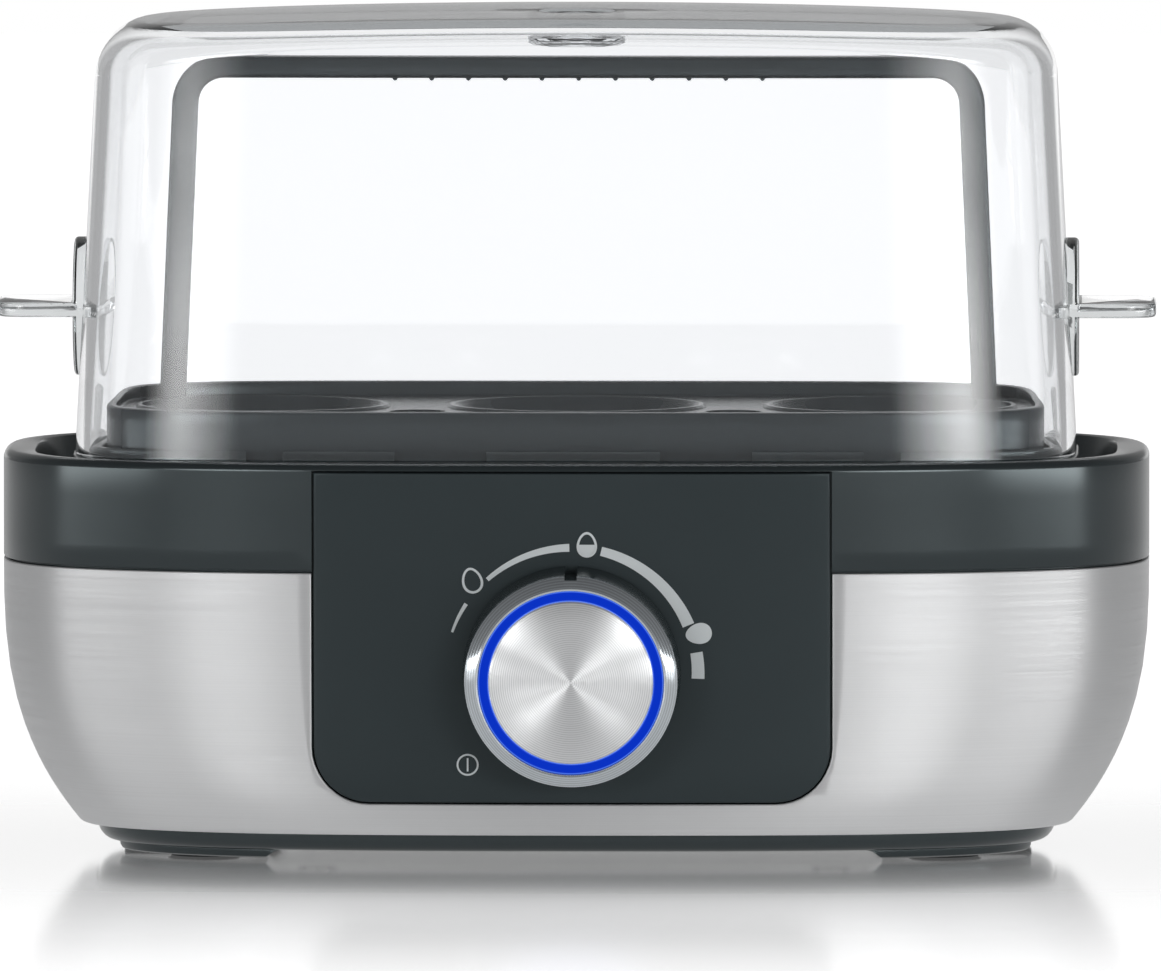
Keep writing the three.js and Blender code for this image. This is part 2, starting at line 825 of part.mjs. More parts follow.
function elementClamp() {
  const bar = solid(block(clampLength, clampWidth, clampThickness, 0, 0, clampBottomZ));
  const hole = rod(studRadius + fitGap, clampThickness + overrun, 0, 0, clampBottomZ - overrun / 2);
  return cut(bar, solid(hole));
}

function hexNut(acrossCorners, thickness, bore, z) {
  const body = solid(rod(acrossCorners / 2, thickness, 0, 0, z, hexSides));
  return cut(body, solid(rod(bore, thickness + overrun, 0, 0, z - overrun / 2)));
}

function temperatureSensor() {
  const topZ = spreaderBottomZ - fitGap;
  return revolved([
    [0, topZ - sensorHeight],
    [sensorRadius, topZ - sensorHeight],
    [sensorRadius, topZ - sensorFlange],
    [sensorRadius + sensorFlange, topZ - sensorFlange],
    [sensorRadius + sensorFlange, topZ],
    [0, topZ],
  ], smallSides).translate(sensorX, 0, 0);
}

function sensorBracket() {
  const topZ = spreaderBottomZ - 2 * fitGap - sensorFlange;
  const bar = solid(block(bracketWidth + 2 * sensorRadius, bracketLength, bracketThickness, sensorX, 0,
    topZ - bracketThickness));
  const ears = [-1, 1].map((side) => solid(block(bracketWidth, bracketWidth / 2, sensorFlange + fitGap
    + bracketThickness, sensorX, (side * (bracketLength - bracketWidth / 2)) / 2, topZ - bracketThickness)));
  const hole = solid(rod(sensorRadius + fitGap, bracketThickness + overrun, sensorX, 0, topZ - overrun));
  return cut(join(bar, ...ears), hole);
}

function thermalFuse() {
  const z = spreaderBottomZ - fitGap - fuseRadius;
  return new THREE.CylinderGeometry(fuseRadius, fuseRadius, fuseLength, smallSides).translate(fuseX, 0, z);
}

// A strap bent round the fuse, with a foot on each side
function fuseClip() {
  const topZ = spreaderBottomZ - fitGap;
  const inner = fuseRadius + fitGap;
  const outer = inner + fuseClipThickness;
  const centre = -fuseRadius;
  const outline = new THREE.Shape()
    .moveTo(outer + fuseClipFoot, 0)
    .lineTo(inner, 0)
    .lineTo(inner, centre)
    .absarc(0, centre, inner, 0, -Math.PI, true)
    .lineTo(-inner, 0)
    .lineTo(-outer - fuseClipFoot, 0)
    .lineTo(-outer - fuseClipFoot, -fuseClipThickness)
    .lineTo(-outer, -fuseClipThickness)
    .absarc(0, centre, outer, -Math.PI, 0)
    .lineTo(outer, -fuseClipThickness)
    .lineTo(outer + fuseClipFoot, -fuseClipThickness);
  return extruded(outline, fuseClipWidth).rotateX(Math.PI / 2).translate(fuseX, fuseClipWidth / 2, topZ);
}

// Egg tray

// The outermost cups stand a gap away from the tray's end walls
const eggPitch = (coverOutline(trayInset + trayWall).halfX - cupEndGap - cupWall - cupTopRadius)
  / ((eggCount - 1) / 2);
const eggPlaces = Array.from({ length: eggCount }, (_, i) => (i - (eggCount - 1) / 2) * eggPitch);
const archLegX = (z) => archHalfWidth - archLegWidth / 2
  + (archTopZ - archCorner - z) * Math.tan(archLegLean);
const archFootZ = trayFloorZ - archPlugDepth;

function eggCup(x) {
  const drop = (cupTopRadius - cupSeatRadius) / (trayFloorZ - cupSeatZ);
  const lipZ = trayFloorZ + cupLip;
  return solid(revolved([
    [0, cupSeatZ],
    [cupSeatRadius + cupWall, cupSeatZ],
    [cupTopRadius + cupWall, trayFloorZ - cupLip],
    [cupTopRadius + cupWall, lipZ],
    [cupTopRadius + cupLip * drop, lipZ],
    [0, lipZ],
  ], cupSides).translate(x, 0, 0));
}

function eggCupBore(x) {
  return solid(revolved([
    [0, cupSeatZ - overrun],
    [cupSeatRadius, cupSeatZ - overrun],
    [cupSeatRadius, cupSeatZ],
    [cupTopRadius, trayFloorZ],
    [cupTopRadius, trayFloorZ + overrun],
    [0, trayFloorZ + overrun],
  ], cupSides).translate(x, 0, 0));
}

function eggCupSlots(x) {
  const slots = [];
  for (let i = 0; i < cupSlotCount / 2; i += 1) {
    const bar = block(2 * (cupSeatRadius + cupWall) + cupWall, cupSlotWidth, cupSlotHeight + overrun, 0, 0,
      cupSeatZ - overrun);
    slots.push(solid(bar.rotateZ(Math.PI / 4 + (2 * Math.PI * i) / cupSlotCount).translate(x, 0, 0)));
  }
  return slots;
}

// The front wall is lower than the back one, so the top edge is cut on a slope
function trayTopCut() {
  const depth = 2 * coverOutline(trayInset).halfY;
  const slope = Math.atan2(trayBackZ - trayFrontZ, depth);
  const middleZ = (trayFrontZ + trayBackZ) / 2;
  const cutter = new THREE.BoxGeometry(bodyLength, bodyDepth, overrun).translate(0, 0, overrun / 2);
  return solid(cutter.rotateX(slope).translate(0, 0, middleZ));
}

function archSocket(side, grow, lowZ, highZ) {
  const x = side * archLegX(archFootZ);
  return solid(block(archLegWidth + 2 * grow, archDepth + 2 * grow, highZ - lowZ, x, archY, lowZ));
}

function eggTray() {
  const outside = coverCore(trayInset, trayBottomZ, trayBackZ);
  const wallInset = trayInset + trayWall;
  const above = coverCore(wallInset, trayFloorZ, trayBackZ + overrun);
  const below = coverCore(wallInset, trayBottomZ - overrun, trayFloorZ - trayFloor);
  const socketBottomZ = archFootZ - fitGap - socketWall / 2;
  const sockets = [-1, 1].map((side) => archSocket(side, socketPlay + socketWall, socketBottomZ, trayFloorZ)
    .intersect(outside));
  const steamHoles = [-1, 1].map((side) => solid(rod(steamHoleRadius, trayFloor + 2 * overrun,
    (side * eggPitch) / 2, steamHoleY, trayFloorZ - trayFloor - overrun)));
  return cut(
    join(cut(outside, above, below), ...eggPlaces.map(eggCup), ...sockets),
    ...eggPlaces.map(eggCupBore),
    ...eggPlaces.flatMap(eggCupSlots),
    ...[-1, 1].map((side) => archSocket(side, socketPlay, archFootZ - fitGap, trayFloorZ + overrun)),
    ...steamHoles,
    trayTopCut(),
  );
}

// Carrying arch with grip ribs under its bar

function carryArch() {
  const shoulderZ = archTopZ - archCorner;
  const spread = (shoulderZ - archFootZ) * Math.tan(archLegLean);
  const footX = archHalfWidth + spread;
  const underZ = archTopZ - archBarHeight;
  const innerHalf = archHalfWidth - archLegWidth;
  const innerShoulderZ = underZ - archInnerCorner;
  const innerFootX = footX - archLegWidth;
  const outline = new THREE.Shape()
    .moveTo(footX, archFootZ)
    .lineTo(archHalfWidth, shoulderZ)
    .absarc(archHalfWidth - archCorner, shoulderZ, archCorner, 0, Math.PI / 2)
    .absarc(-archHalfWidth + archCorner, shoulderZ, archCorner, Math.PI / 2, Math.PI)
    .lineTo(-footX, archFootZ)
    .lineTo(-innerFootX, archFootZ)
    .lineTo(-innerHalf, innerShoulderZ)
    .absarc(-innerHalf + archInnerCorner, innerShoulderZ, archInnerCorner, Math.PI, Math.PI / 2, true);
  for (let i = 0; i < archRibCount; i += 1) {
    const x = (i - (archRibCount - 1) / 2) * archRibPitch;
    outline.lineTo(x - archRibWidth / 2, underZ);
    outline.lineTo(x - archRibTipWidth / 2, underZ - archRibHeight);
    outline.lineTo(x + archRibTipWidth / 2, underZ - archRibHeight);
    outline.lineTo(x + archRibWidth / 2, underZ);
  }
  outline.absarc(innerHalf - archInnerCorner, innerShoulderZ, archInnerCorner, Math.PI / 2, 0, true);
  outline.lineTo(innerFootX, archFootZ);
  return extruded(outline, archDepth, archBevel, archCornerSteps)
    .rotateX(Math.PI / 2)
    .translate(0, archY + archDepth / 2, 0);
}

// Clear cover

// The top falls a little towards its ends, where its edge is rounder than along the sides.
function coverRings(inset, bottomZ) {
  const shoulderZ = coverTopZ - coverCrown - coverEndRound;
  const wall = coverOutline(inset + Math.tan(coverDraft) * (shoulderZ - coverSeatZ));
  const endRound = coverEndRound - inset;
  const sideRound = coverSideRound - inset;
  const topRing = (outline, dropShare) => ring(outline, coverTopZ - inset).map((point) => {
    const endShare = (Math.abs(point.x) / outline.halfX) ** outline.squareness;
    const drop = THREE.MathUtils.lerp(sideRound, endRound, endShare) * dropShare;
    return point.setZ(point.z - drop - coverCrown * (point.x / (coverLength / 2)) ** 2);
  });
  const rings = [coverRing(bottomZ, inset + Math.tan(coverDraft) * (bottomZ - coverSeatZ))];
  for (let step = 0; step <= coverRoundSteps; step += 1) {
    const turn = (Math.PI / 2) * (step / coverRoundSteps);
    const inShare = 1 - Math.cos(turn);
    const halfX = wall.halfX - endRound * inShare;
    const halfY = wall.halfY - sideRound * inShare;
    rings.push(topRing({ ...wall, halfX, halfY }, 1 - Math.sin(turn)));
  }
  for (const share of coverCrownShares) {
    const halfX = (wall.halfX - endRound) * share;
    const halfY = (wall.halfY - sideRound) * share;
    rings.push(topRing({ ...wall, halfX, halfY }, 0));
  }
  return rings;
}

function ventDish(grow, highZ) {
  const floorZ = coverTopZ - ventDepth - grow;
  const radius = ventRadius + grow;
  return solid(revolved([
    [0, floorZ],
    [radius * ventFloorShare, floorZ],
    [radius, floorZ + ventDepth / 2],
    [radius, highZ],
    [0, highZ],
  ], cupSides));
}

function coverGrip(side) {
  const rootX = coverOutline(coverWall / 2 + Math.tan(coverDraft) * (gripZ - coverSeatZ)).halfX;
  const faceX = coverOutline(Math.tan(coverDraft) * (gripZ - coverSeatZ)).halfX + gripPlateProud;
  const oval = new THREE.Shape().absellipse(0, 0, gripPlateWidth / 2, gripPlateHeight / 2, 0, 2 * Math.PI);
  const plate = new THREE.ExtrudeGeometry(oval, {
    depth: faceX - rootX - gripPlateBevel,
    bevelThickness: gripPlateBevel,
    bevelSize: gripPlateBevel,
    bevelOffset: -gripPlateBevel,
    bevelSegments: 1,
    curveSegments: gripOvalSteps,
  });
  plate.rotateZ(Math.PI / 2).rotateY(Math.PI / 2).translate(rootX, 0, gripZ);
  const half = gripTabWidth / 2;
  const cornerX = coverLength / 2 + gripTabLength - gripTabCorner;
  const outline = new THREE.Shape()
    .moveTo(rootX, -half)
    .absarc(cornerX, -half + gripTabCorner, gripTabCorner, -Math.PI / 2, 0)
    .absarc(cornerX, half - gripTabCorner, gripTabCorner, 0, Math.PI / 2)
    .lineTo(rootX, half);
  const tab = extruded(outline, gripTabThickness).translate(0, 0, gripZ - gripTabThickness / 2);
  if (side < 0) {
    plate.rotateZ(Math.PI);
    tab.rotateZ(Math.PI);
  }
  return [solid(plate), solid(tab)];
}

function clearCover() {
  const bottomZ = coverSeatZ + fitGap;
  const outside = solid(skin(coverRings(0, bottomZ)));
  const inside = solid(skin(coverRings(coverWall, bottomZ - overrun)));
  const dent = ventDish(0, coverTopZ + overrun);
  const well = cut(ventDish(coverWall, coverTopZ - coverWall / 2), dent);
  const steamHole = solid(rod(ventHoleRadius, ventDepth + coverWall + 2 * overrun, 0, 0,
    coverTopZ - ventDepth - coverWall - overrun));
  const grips = [-1, 1].flatMap(coverGrip).map((body) => cut(body, inside));
  return cut(join(cut(outside, inside, dent), well, ...grips), steamHole);
}

// Knob, measured out from the panel's face

const sleeveShoulderZ = knobDepth - sleeveBevelDepth;
const coreRadius = knobFrontRadius - sleeveWall - fitGap;
const grooveFloorRadius = coreRadius + fitGap / 2;
const coreFrontZ = knobDepth - knobCapThickness - fitGap;
const webBackZ = coreFrontZ - knobWeb;
const ringPocketZ = knobDepth - lightRingSetBack - lightRingDepth - fitGap;
const ringPocketRadius = lightRingRadius + fitGap;

function knobCore() {
  const hubRadius = shaftRadius + fitGap + hubWall;
  const hubZ = bushingReach + fitGap;
  const pocketBackZ = ringPocketZ - knobWeb;
  return revolved([
    [0, webBackZ],
    [shaftRadius + fitGap, webBackZ],
    [shaftRadius + fitGap, hubZ],
    [hubRadius, hubZ],
    [hubRadius, pocketBackZ],
    [coreRadius - knobWall, pocketBackZ],
    [coreRadius - knobWall, knobClearance],
    [coreRadius, knobClearance],
    [coreRadius, sleeveShoulderZ - fitGap],
    [ringPocketRadius, sleeveShoulderZ - fitGap],
    [ringPocketRadius, ringPocketZ],
    [knobCapRadius, ringPocketZ],
    [knobCapRadius, coreFrontZ],
    [0, coreFrontZ],
  ], knobSides);
}

function knobSleeve() {
  const taper = knobBaseRadius - knobFrontRadius;
  const ringBody = solid(revolved([
    [knobBaseRadius - sleeveWall - taper, knobClearance],
    [knobBaseRadius, knobClearance],
    [knobFrontRadius, sleeveShoulderZ],
    [sleeveFaceInnerRadius + sleeveWall, knobDepth],
    [sleeveFaceInnerRadius, knobDepth - sleeveWall / 2],
    [sleeveFaceInnerRadius, sleeveShoulderZ],
    [knobFrontRadius - sleeveWall, sleeveShoulderZ],
    [knobBaseRadius - sleeveWall - taper, knobClearance],
  ], knobSides));
  const grooveDepth = knobBaseRadius + fitGap - grooveFloorRadius;
  const groove = block(pointerWidth, grooveDepth, knobDepth + overrun, 0, grooveFloorRadius + grooveDepth / 2,
    -overrun);
  return cut(ringBody, solid(groove));
}

function knobLightRing() {
  const frontZ = knobDepth - lightRingSetBack;
  const inner = lightRingRadius - lightRingWidth;
  return revolved([
    [inner, frontZ - lightRingDepth],
    [lightRingRadius, frontZ - lightRingDepth],
    [lightRingRadius, frontZ],
    [inner, frontZ],
    [inner, frontZ - lightRingDepth],
  ], knobSides);
}

function knobCap() {
  return revolved([
    [0, knobDepth - knobCapThickness],
    [knobCapRadius, knobDepth - knobCapThickness],
    [knobCapRadius, knobDepth - knobCapBevel],
    [knobCapRadius - knobCapBevel, knobDepth],
    [0, knobDepth - knobCapBevel / 2],
  ], knobSides);
}

function knobShaft() {
  const lowZ = potentiometerFace - shaftInsertion;
  const height = webBackZ - fitGap - lowZ;
  const flat = block(2 * shaftRadius, shaftFlat, webBackZ, 0, shaftRadius - shaftFlat / 2, bushingReach);
  return cut(solid(rod(shaftRadius, height, 0, 0, lowZ)), solid(flat));
}

function potentiometer() {
  const back = potentiometerFace - potentiometerDepth;
  const body = solid(block(potentiometerSize, potentiometerSize, potentiometerDepth, 0, 0, back));
  const bushing = solid(rod(bushingRadius, bushingReach - potentiometerFace + fitGap, 0, 0,
    potentiometerFace - fitGap));
  const boreBottomZ = potentiometerFace - shaftInsertion - fitGap;
  const bore = solid(rod(shaftRadius + fitGap, bushingReach + overrun - boreBottomZ, 0, 0, boreBottomZ));
  return cut(join(body, bushing), bore);
}

// Control board behind the panel, measured from the panel's face

function controlBoard() {
  const plate = solid(block(boardWidth, boardHeight, boardThickness, 0, 0, boardBack));
  const holes = [-1, 1].map((side) => solid(
    rod(boardScrewRadius + fitGap, boardThickness + overrun, (side * boardPostPitch) / 2, 0,
      boardBack - overrun / 2)));
  return cut(plate, ...holes);
}

function boardScrew(side) {
  const length = -boardFace - skirtInnerInset;
  return screwUp(boardScrewHeadRadius, boardScrewHeadHeight, boardScrewRadius - fitGap, length)
    .translate((side * boardPostPitch) / 2, 0, boardBack - fitGap);
}

function lamp([x, y]) {
  const lowZ = boardFace + fitGap;
  const height = -ledSetBack - lowZ;
  return rod(ledRadius, height, x, y, lowZ, smallSides / 2);
}

const behindBoard = ([width, height, depth], x, y) =>
  block(width, height, depth, x, y, boardBack - fitGap - depth);

const buzzerX = -boardWidth / 2 + 2 * buzzerRadius + boardPostRadius;
const relayX = boardWidth / 2 - relayEdgeGap - relaySize[0] / 2;
const capacitorX = buzzerX + buzzerRadius + capacitorGap + capacitorSize[0] / 2;

const buzzer = () => rod(buzzerRadius, buzzerHeight, buzzerX,
  -boardHeight / 2 + buzzerRadius + boardThickness, boardBack - fitGap - buzzerHeight);

// Mains entry: gland in the back wall, cord clamp and terminal block on the base

function cordGland() {
  const radius = glandBore + glandWall;
  return revolved([
    [glandBore, -glandLength],
    [radius, -glandLength],
    [radius, fitGap],
    [radius + glandFlangeWidth, fitGap],
    [radius + glandFlangeWidth, fitGap + glandFlangeThickness],
    [glandBore, fitGap + glandFlangeThickness],
    [glandBore, -glandLength],
  ], smallSides);
}

const cordClampZ = baseBottomZ + baseFloor + cordPostHeight + fitGap;

function cordClamp() {
  const bar = solid(block(cordClampLength, cordClampWidth, cordClampThickness, cordClampX, cordClampY,
    cordClampZ));
  const holes = [-1, 1].map((side) => solid(rod(boardScrewRadius + fitGap, cordClampThickness + overrun,
    cordClampX + (side * cordClampScrewPitch) / 2, cordClampY, cordClampZ - overrun / 2)));
  return cut(bar, ...holes);
}

function cordClampScrew(side) {
  const length = cordClampThickness + cordPostHeight;
  const x = cordClampX + (side * cordClampScrewPitch) / 2;
  return screwUp(boardScrewHeadRadius, boardScrewHeadHeight, boardScrewRadius, length)
    .rotateX(Math.PI)
    .translate(x, cordClampY, cordClampZ + cordClampThickness + fitGap);
}

const terminalBlock = () => block(...terminalSize, terminalX, terminalY, baseBottomZ + baseFloor + fitGap);

// Assembly

const boiler = new THREE.Group();

boiler.add(
  piece("upper_housing", upperHousing(), finishes.darkPlastic),
  piece("control_panel", controlPanel(), finishes.panelPlastic),
  piece("steel_jacket", steelJacket(), finishes.brushedSteel),
  piece("base_shell", baseShell(), finishes.darkPlastic),
  ...cornerSigns.map(([sx, sy], i) => piece(`foot_pad_${i + 1}`, footPad(sx, sy), finishes.rubber)),
  ...cornerSigns.map(([sx, sy], i) => piece(`base_screw_${i + 1}`, baseScrew(sx, sy), finishes.zincSteel)),
  piece("heating_bowl", heatingBowl(), finishes.bowlSteel),
  piece("bowl_seal", bowlSeal(), finishes.silicone),
  piece("heat_spreader", heatSpreader(), finishes.plainAluminium),
  piece("heating_element", heatingElement(), finishes.zincSteel),
  piece("element_clamp", elementClamp(), finishes.zincSteel),
  piece("clamp_nut", hexNut(clampNutAcrossCorners, clampNutThickness, studRadius + fitGap,
    clampNutTopZ - clampNutThickness), finishes.zincSteel),
  piece("temperature_sensor", temperatureSensor(), finishes.plainAluminium),
  piece("sensor_bracket", sensorBracket(), finishes.zincSteel),
  piece("thermal_fuse", thermalFuse(), finishes.ceramic),
  piece("fuse_clip", fuseClip(), finishes.zincSteel),
  piece("egg_tray", eggTray(), finishes.darkPlastic),
  piece("carry_arch", carryArch(), finishes.darkPlastic),
  piece("clear_cover", clearCover(), finishes.clearPlastic),
  piece("cord_clamp", cordClamp(), finishes.component),
  piece("cord_clamp_screw_1", cordClampScrew(-1), finishes.zincSteel),
  piece("cord_clamp_screw_2", cordClampScrew(1), finishes.zincSteel),
  piece("terminal_block", terminalBlock(), finishes.ceramic),
);

controls.add(
  piece("knob_core", knobCore(), finishes.darkPlastic),
  piece("knob_sleeve", knobSleeve(), finishes.chrome),
  piece("knob_light_ring", knobLightRing(), finishes.litBlue),
  piece("knob_cap", knobCap(), finishes.spunAluminium),
  piece("knob_shaft", knobShaft(), finishes.zincSteel),
  piece("potentiometer", potentiometer(), finishes.component),
  piece("potentiometer_nut", hexNut(nutAcrossCorners, nutThickness, bushingRadius + fitGap, fitGap),
    finishes.zincSteel),
  piece("control_board", controlBoard(), finishes.board),
  piece("board_screw_1", boardScrew(-1), finishes.zincSteel),
  piece("board_screw_2", boardScrew(1), finishes.zincSteel),
  ...ledPlaces().map((place, i) => piece(`ring_lamp_${i + 1}`, lamp(place), finishes.litBlue)),
  piece("buzzer", buzzer(), finishes.component),
  piece("relay", behindBoard(relaySize, relayX, relayY), finishes.component),
  piece("supply_capacitor", behindBoard(capacitorSize, capacitorX, capacitorY), finishes.component),
);

mainsEntry.add(piece("cord_gland", cordGland(), finishes.rubber));
boiler.add(controls, mainsEntry);

// The origin is the middle of the footprint of the whole boiler
const reach = new THREE.Box3().setFromObject(boiler);
boiler.position.y = -(reach.min.y + reach.max.y) / 2;
boiler.updateMatrixWorld(true);

export default boiler;
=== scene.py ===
"""Looks for the egg boiler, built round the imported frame. Lengths are in millimetres until a mesh is made."""

import json
import math

import bmesh
import bpy
from mathutils import Matrix, Vector

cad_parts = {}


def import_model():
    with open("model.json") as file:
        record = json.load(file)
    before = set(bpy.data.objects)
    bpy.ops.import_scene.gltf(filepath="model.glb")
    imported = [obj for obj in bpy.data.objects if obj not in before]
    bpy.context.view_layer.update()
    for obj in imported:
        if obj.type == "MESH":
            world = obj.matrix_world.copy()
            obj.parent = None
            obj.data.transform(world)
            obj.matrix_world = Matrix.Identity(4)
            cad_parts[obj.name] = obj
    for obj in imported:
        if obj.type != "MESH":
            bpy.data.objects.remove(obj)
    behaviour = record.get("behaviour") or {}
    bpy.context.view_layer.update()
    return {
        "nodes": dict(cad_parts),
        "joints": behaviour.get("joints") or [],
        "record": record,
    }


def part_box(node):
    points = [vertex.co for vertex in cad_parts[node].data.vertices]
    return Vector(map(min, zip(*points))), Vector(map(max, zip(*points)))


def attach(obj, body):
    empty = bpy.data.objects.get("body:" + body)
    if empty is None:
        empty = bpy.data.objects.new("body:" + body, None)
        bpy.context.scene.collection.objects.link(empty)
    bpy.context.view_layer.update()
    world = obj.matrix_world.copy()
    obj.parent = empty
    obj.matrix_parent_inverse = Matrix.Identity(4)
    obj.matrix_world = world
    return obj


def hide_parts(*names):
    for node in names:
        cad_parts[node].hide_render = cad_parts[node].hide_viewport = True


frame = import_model()
MM = 0.001
WELD = 0.002
SIDES = 192

# Sizes of the housing, cover, panel and knob
BODY_HALF_X, BODY_HALF_Y, BODY_POWER = 94, 51, 3
END_DRAW, END_DRAW_POWER, TUCK, TUCK_HEIGHT = 12.7, 2.9, 3, 12
RIM_Z, SEAM_Z, SEAM_GAP, JACKET_FOOT_Z = 66, 48.4, 0.4, 4.8
LEAN = math.radians(5.5)
JACKET_WALL, HEM = 0.8, 1.6
SKIRT_INSET, SKIRT_INNER = 1.1, 3.5
MOAT_HALF_X, MOAT_HALF_Y, MOAT_POWER = 88.6, 45.6, 3.7
MOAT_FLOOR_Z, SEAT_Z, LEDGE_Z, DECK_WALL = 60, 65.4, 62.6, 2.2
LIP_IN, LIP_HEIGHT, LIP_NOTCHES = 2.3, 1.6, ((50.4, 6), (21.7, 15))
COLLAR_IN, LEDGE_IN = 3.7, 7.3
COVER_HALF_X, COVER_HALF_Y, COVER_POWER = 82.1, 36, 5
COVER_TOP_Z, COVER_WALL, COVER_CROWN = 137.5, 2, 2
COVER_END_ROUND, COVER_SIDE_ROUND = 8.5, 4.5
COVER_DRAFT = math.tan(math.radians(3))
PANEL_HALF, PANEL_LOW, PANEL_HIGH, PANEL_CORNER, PANEL_WALL = 42.1, 10.4, 64.6, 9, 1.8
SHAFT_BORE_R, GLOW_INNER_R, GLOW_OUTER_R = 4.8, 13.45, 15.05
GLAND_X, GLAND_Z, GLAND_BORE_R = -20, 18, 5.5
GAP = 0.3

BODY_Y = sum(corner.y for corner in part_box("heating_bowl")) / 2
BODY_PLACE = Matrix.Translation((0, BODY_Y, 0))
UPRIGHT = Matrix.Rotation(math.pi / 2, 4, "X")
KNOB_JOINT = next(joint for joint in frame["joints"] if joint["name"] == "knob_turn")
KNOB_Z = KNOB_JOINT["pos_m"][2] / MM
KNOB_PLACE = Matrix.Translation(KNOB_JOINT["pos_m"]) @ Matrix.Rotation(math.pi / 2 + LEAN, 4, "X")
GLAND_Y = BODY_HALF_Y - math.tan(LEAN) * (RIM_Z - GLAND_Z)
GLAND_PLACE = (
    Matrix.Translation((GLAND_X * MM, BODY_Y + GLAND_Y * MM, GLAND_Z * MM))
    @ Matrix.Rotation(-math.pi / 2 - LEAN, 4, "X")
)


# Mesh helpers


def put(name, data):
    obj = bpy.data.objects.new(name, data)
    bpy.context.scene.collection.objects.link(obj)
    return obj


def make(name, points, faces, place=BODY_PLACE):
    """A piece from points in millimetres, with its faces turned outwards."""
    mesh = bpy.data.meshes.new(name)
    mesh.from_pydata([Vector(point) * MM for point in points], [], faces)
    obj = put(name, mesh)
    obj.matrix_world = place
    work = bmesh.new()
    work.from_mesh(mesh)
    bmesh.ops.remove_doubles(work, verts=work.verts, dist=WELD * MM)
    bmesh.ops.recalc_face_normals(work, faces=work.faces)
    work.to_mesh(mesh)
    work.free()
    return obj


def settle(obj):
    """Applies the modifiers."""
    bpy.context.view_layer.update()
    graph = bpy.context.evaluated_depsgraph_get()
    mesh = bpy.data.meshes.new_from_object(obj.evaluated_get(graph))
    obj.modifiers.clear()
    old, obj.data = obj.data, mesh
    bpy.data.meshes.remove(old)
    return obj


def carve(obj, *tools, operation="DIFFERENCE"):
    """Cuts the tools out of a piece and deletes them."""
    for tool in tools:
        step = obj.modifiers.new("carve", "BOOLEAN")
        step.operation, step.object, step.solver = operation, tool, "MANIFOLD"
    settle(obj)
    for tool in tools:
        bpy.data.meshes.remove(tool.data)
    return obj


def unite(obj, *tools):
    return carve(obj, *tools, operation="UNION")


def softened(obj, width, segments, angle=40):
    """Bevels the edges that are sharper than an angle in degrees."""
    step = obj.modifiers.new("edge", "BEVEL")
    step.width, step.segments, step.limit_method = width * MM, segments, "ANGLE"
    step.angle_limit, step.harden_normals = math.radians(angle), False
    return settle(obj)


def outline(half_x, half_y, power):
    """A superellipse, anticlockwise from +X, with its points closer together where it bends.
    A quarter is walked in dense steps, and a radian of bend counts as so many millimetres of way."""
    dense, bend = 900, 28
    quarter = []
    for i in range(dense + 1):
        turn = math.pi / 2 * i / dense
        x = half_x * max(0.0, math.cos(turn)) ** (2 / power)
        y = half_y * max(0.0, math.sin(turn)) ** (2 / power)
        quarter.append((x, y))
    quarter[-1] = (0.0, half_y)
    run, way = [0.0], None
    for (x0, y0), (x1, y1) in zip(quarter, quarter[1:]):
        heading = math.atan2(y1 - y0, x1 - x0)
        bent = 0 if way is None else abs(heading - way)
        run.append(run[-1] + math.hypot(x1 - x0, y1 - y0) + bend * bent)
        way = heading
    spots, at = [], 0
    for i in range(SIDES // 4 + 1):
        goal = run[-1] * i / (SIDES // 4)
        while at < dense - 1 and run[at + 1] < goal:
            at += 1
        share = (goal - run[at]) / (run[at + 1] - run[at])
        (x0, y0), (x1, y1) = quarter[at], quarter[at + 1]
        spots.append((x0 + (x1 - x0) * share, y0 + (y1 - y0) * share))
    spots[0], spots[-1] = (half_x, 0.0), (0.0, half_y)
    back = spots[::-1]
    return (
        spots[:-1]
        + [(-x, y) for x, y in back[:-1]]
        + [(-x, -y) for x, y in spots[:-1]]
        + [(x, -y) for x, y in back[:-1]]
    )


def ring(half_x, half_y, power, z):
    """A superellipse at a height, or at a height worked out from x and y."""
    return [(x, y, z(x, y) if callable(z) else z) for x, y in outline(half_x, half_y, power)]


def body_halves(z, inset=0):
    """Half the body's length and depth. It leans in downwards and draws in further near its foot."""
    fall = max(0, SEAM_Z - z) / (SEAM_Z - JACKET_FOOT_Z)
    tuck = max(0, JACKET_FOOT_Z + TUCK_HEIGHT - z) / TUCK_HEIGHT
    half_y = BODY_HALF_Y - math.tan(LEAN) * (RIM_Z - z) - TUCK * tuck**3 - inset
    return BODY_HALF_X - END_DRAW * fall**END_DRAW_POWER - inset, half_y


def body_ring(z, inset=0):
    return ring(*body_halves(z, inset), BODY_POWER, z)


def cover_ring(z, inset):
    return ring(COVER_HALF_X - inset, COVER_HALF_Y - inset, COVER_POWER, z)


def moat_ring(z, inset):
    return ring(MOAT_HALF_X - inset, MOAT_HALF_Y - inset, MOAT_POWER, z)


def levels(make_ring, *steps):
    """Rings of one outline at pairs of a height and an inset."""
    return [make_ring(z, inset) for z, inset in steps]


def joined(rows, closed=False):
    """Faces between rows of points, whose corners may fall together. A closed one goes back to the first."""
    faces = []
    for low, high in zip(rows, rows[1:] + (rows[:1] if closed else [])):
        for i in range(len(low)):
            j = (i + 1) % len(low)
            corners = dict.fromkeys((low[i], low[j], high[j], high[i]))
            if len(corners) > 2:
                faces.append(tuple(corners))
    return faces


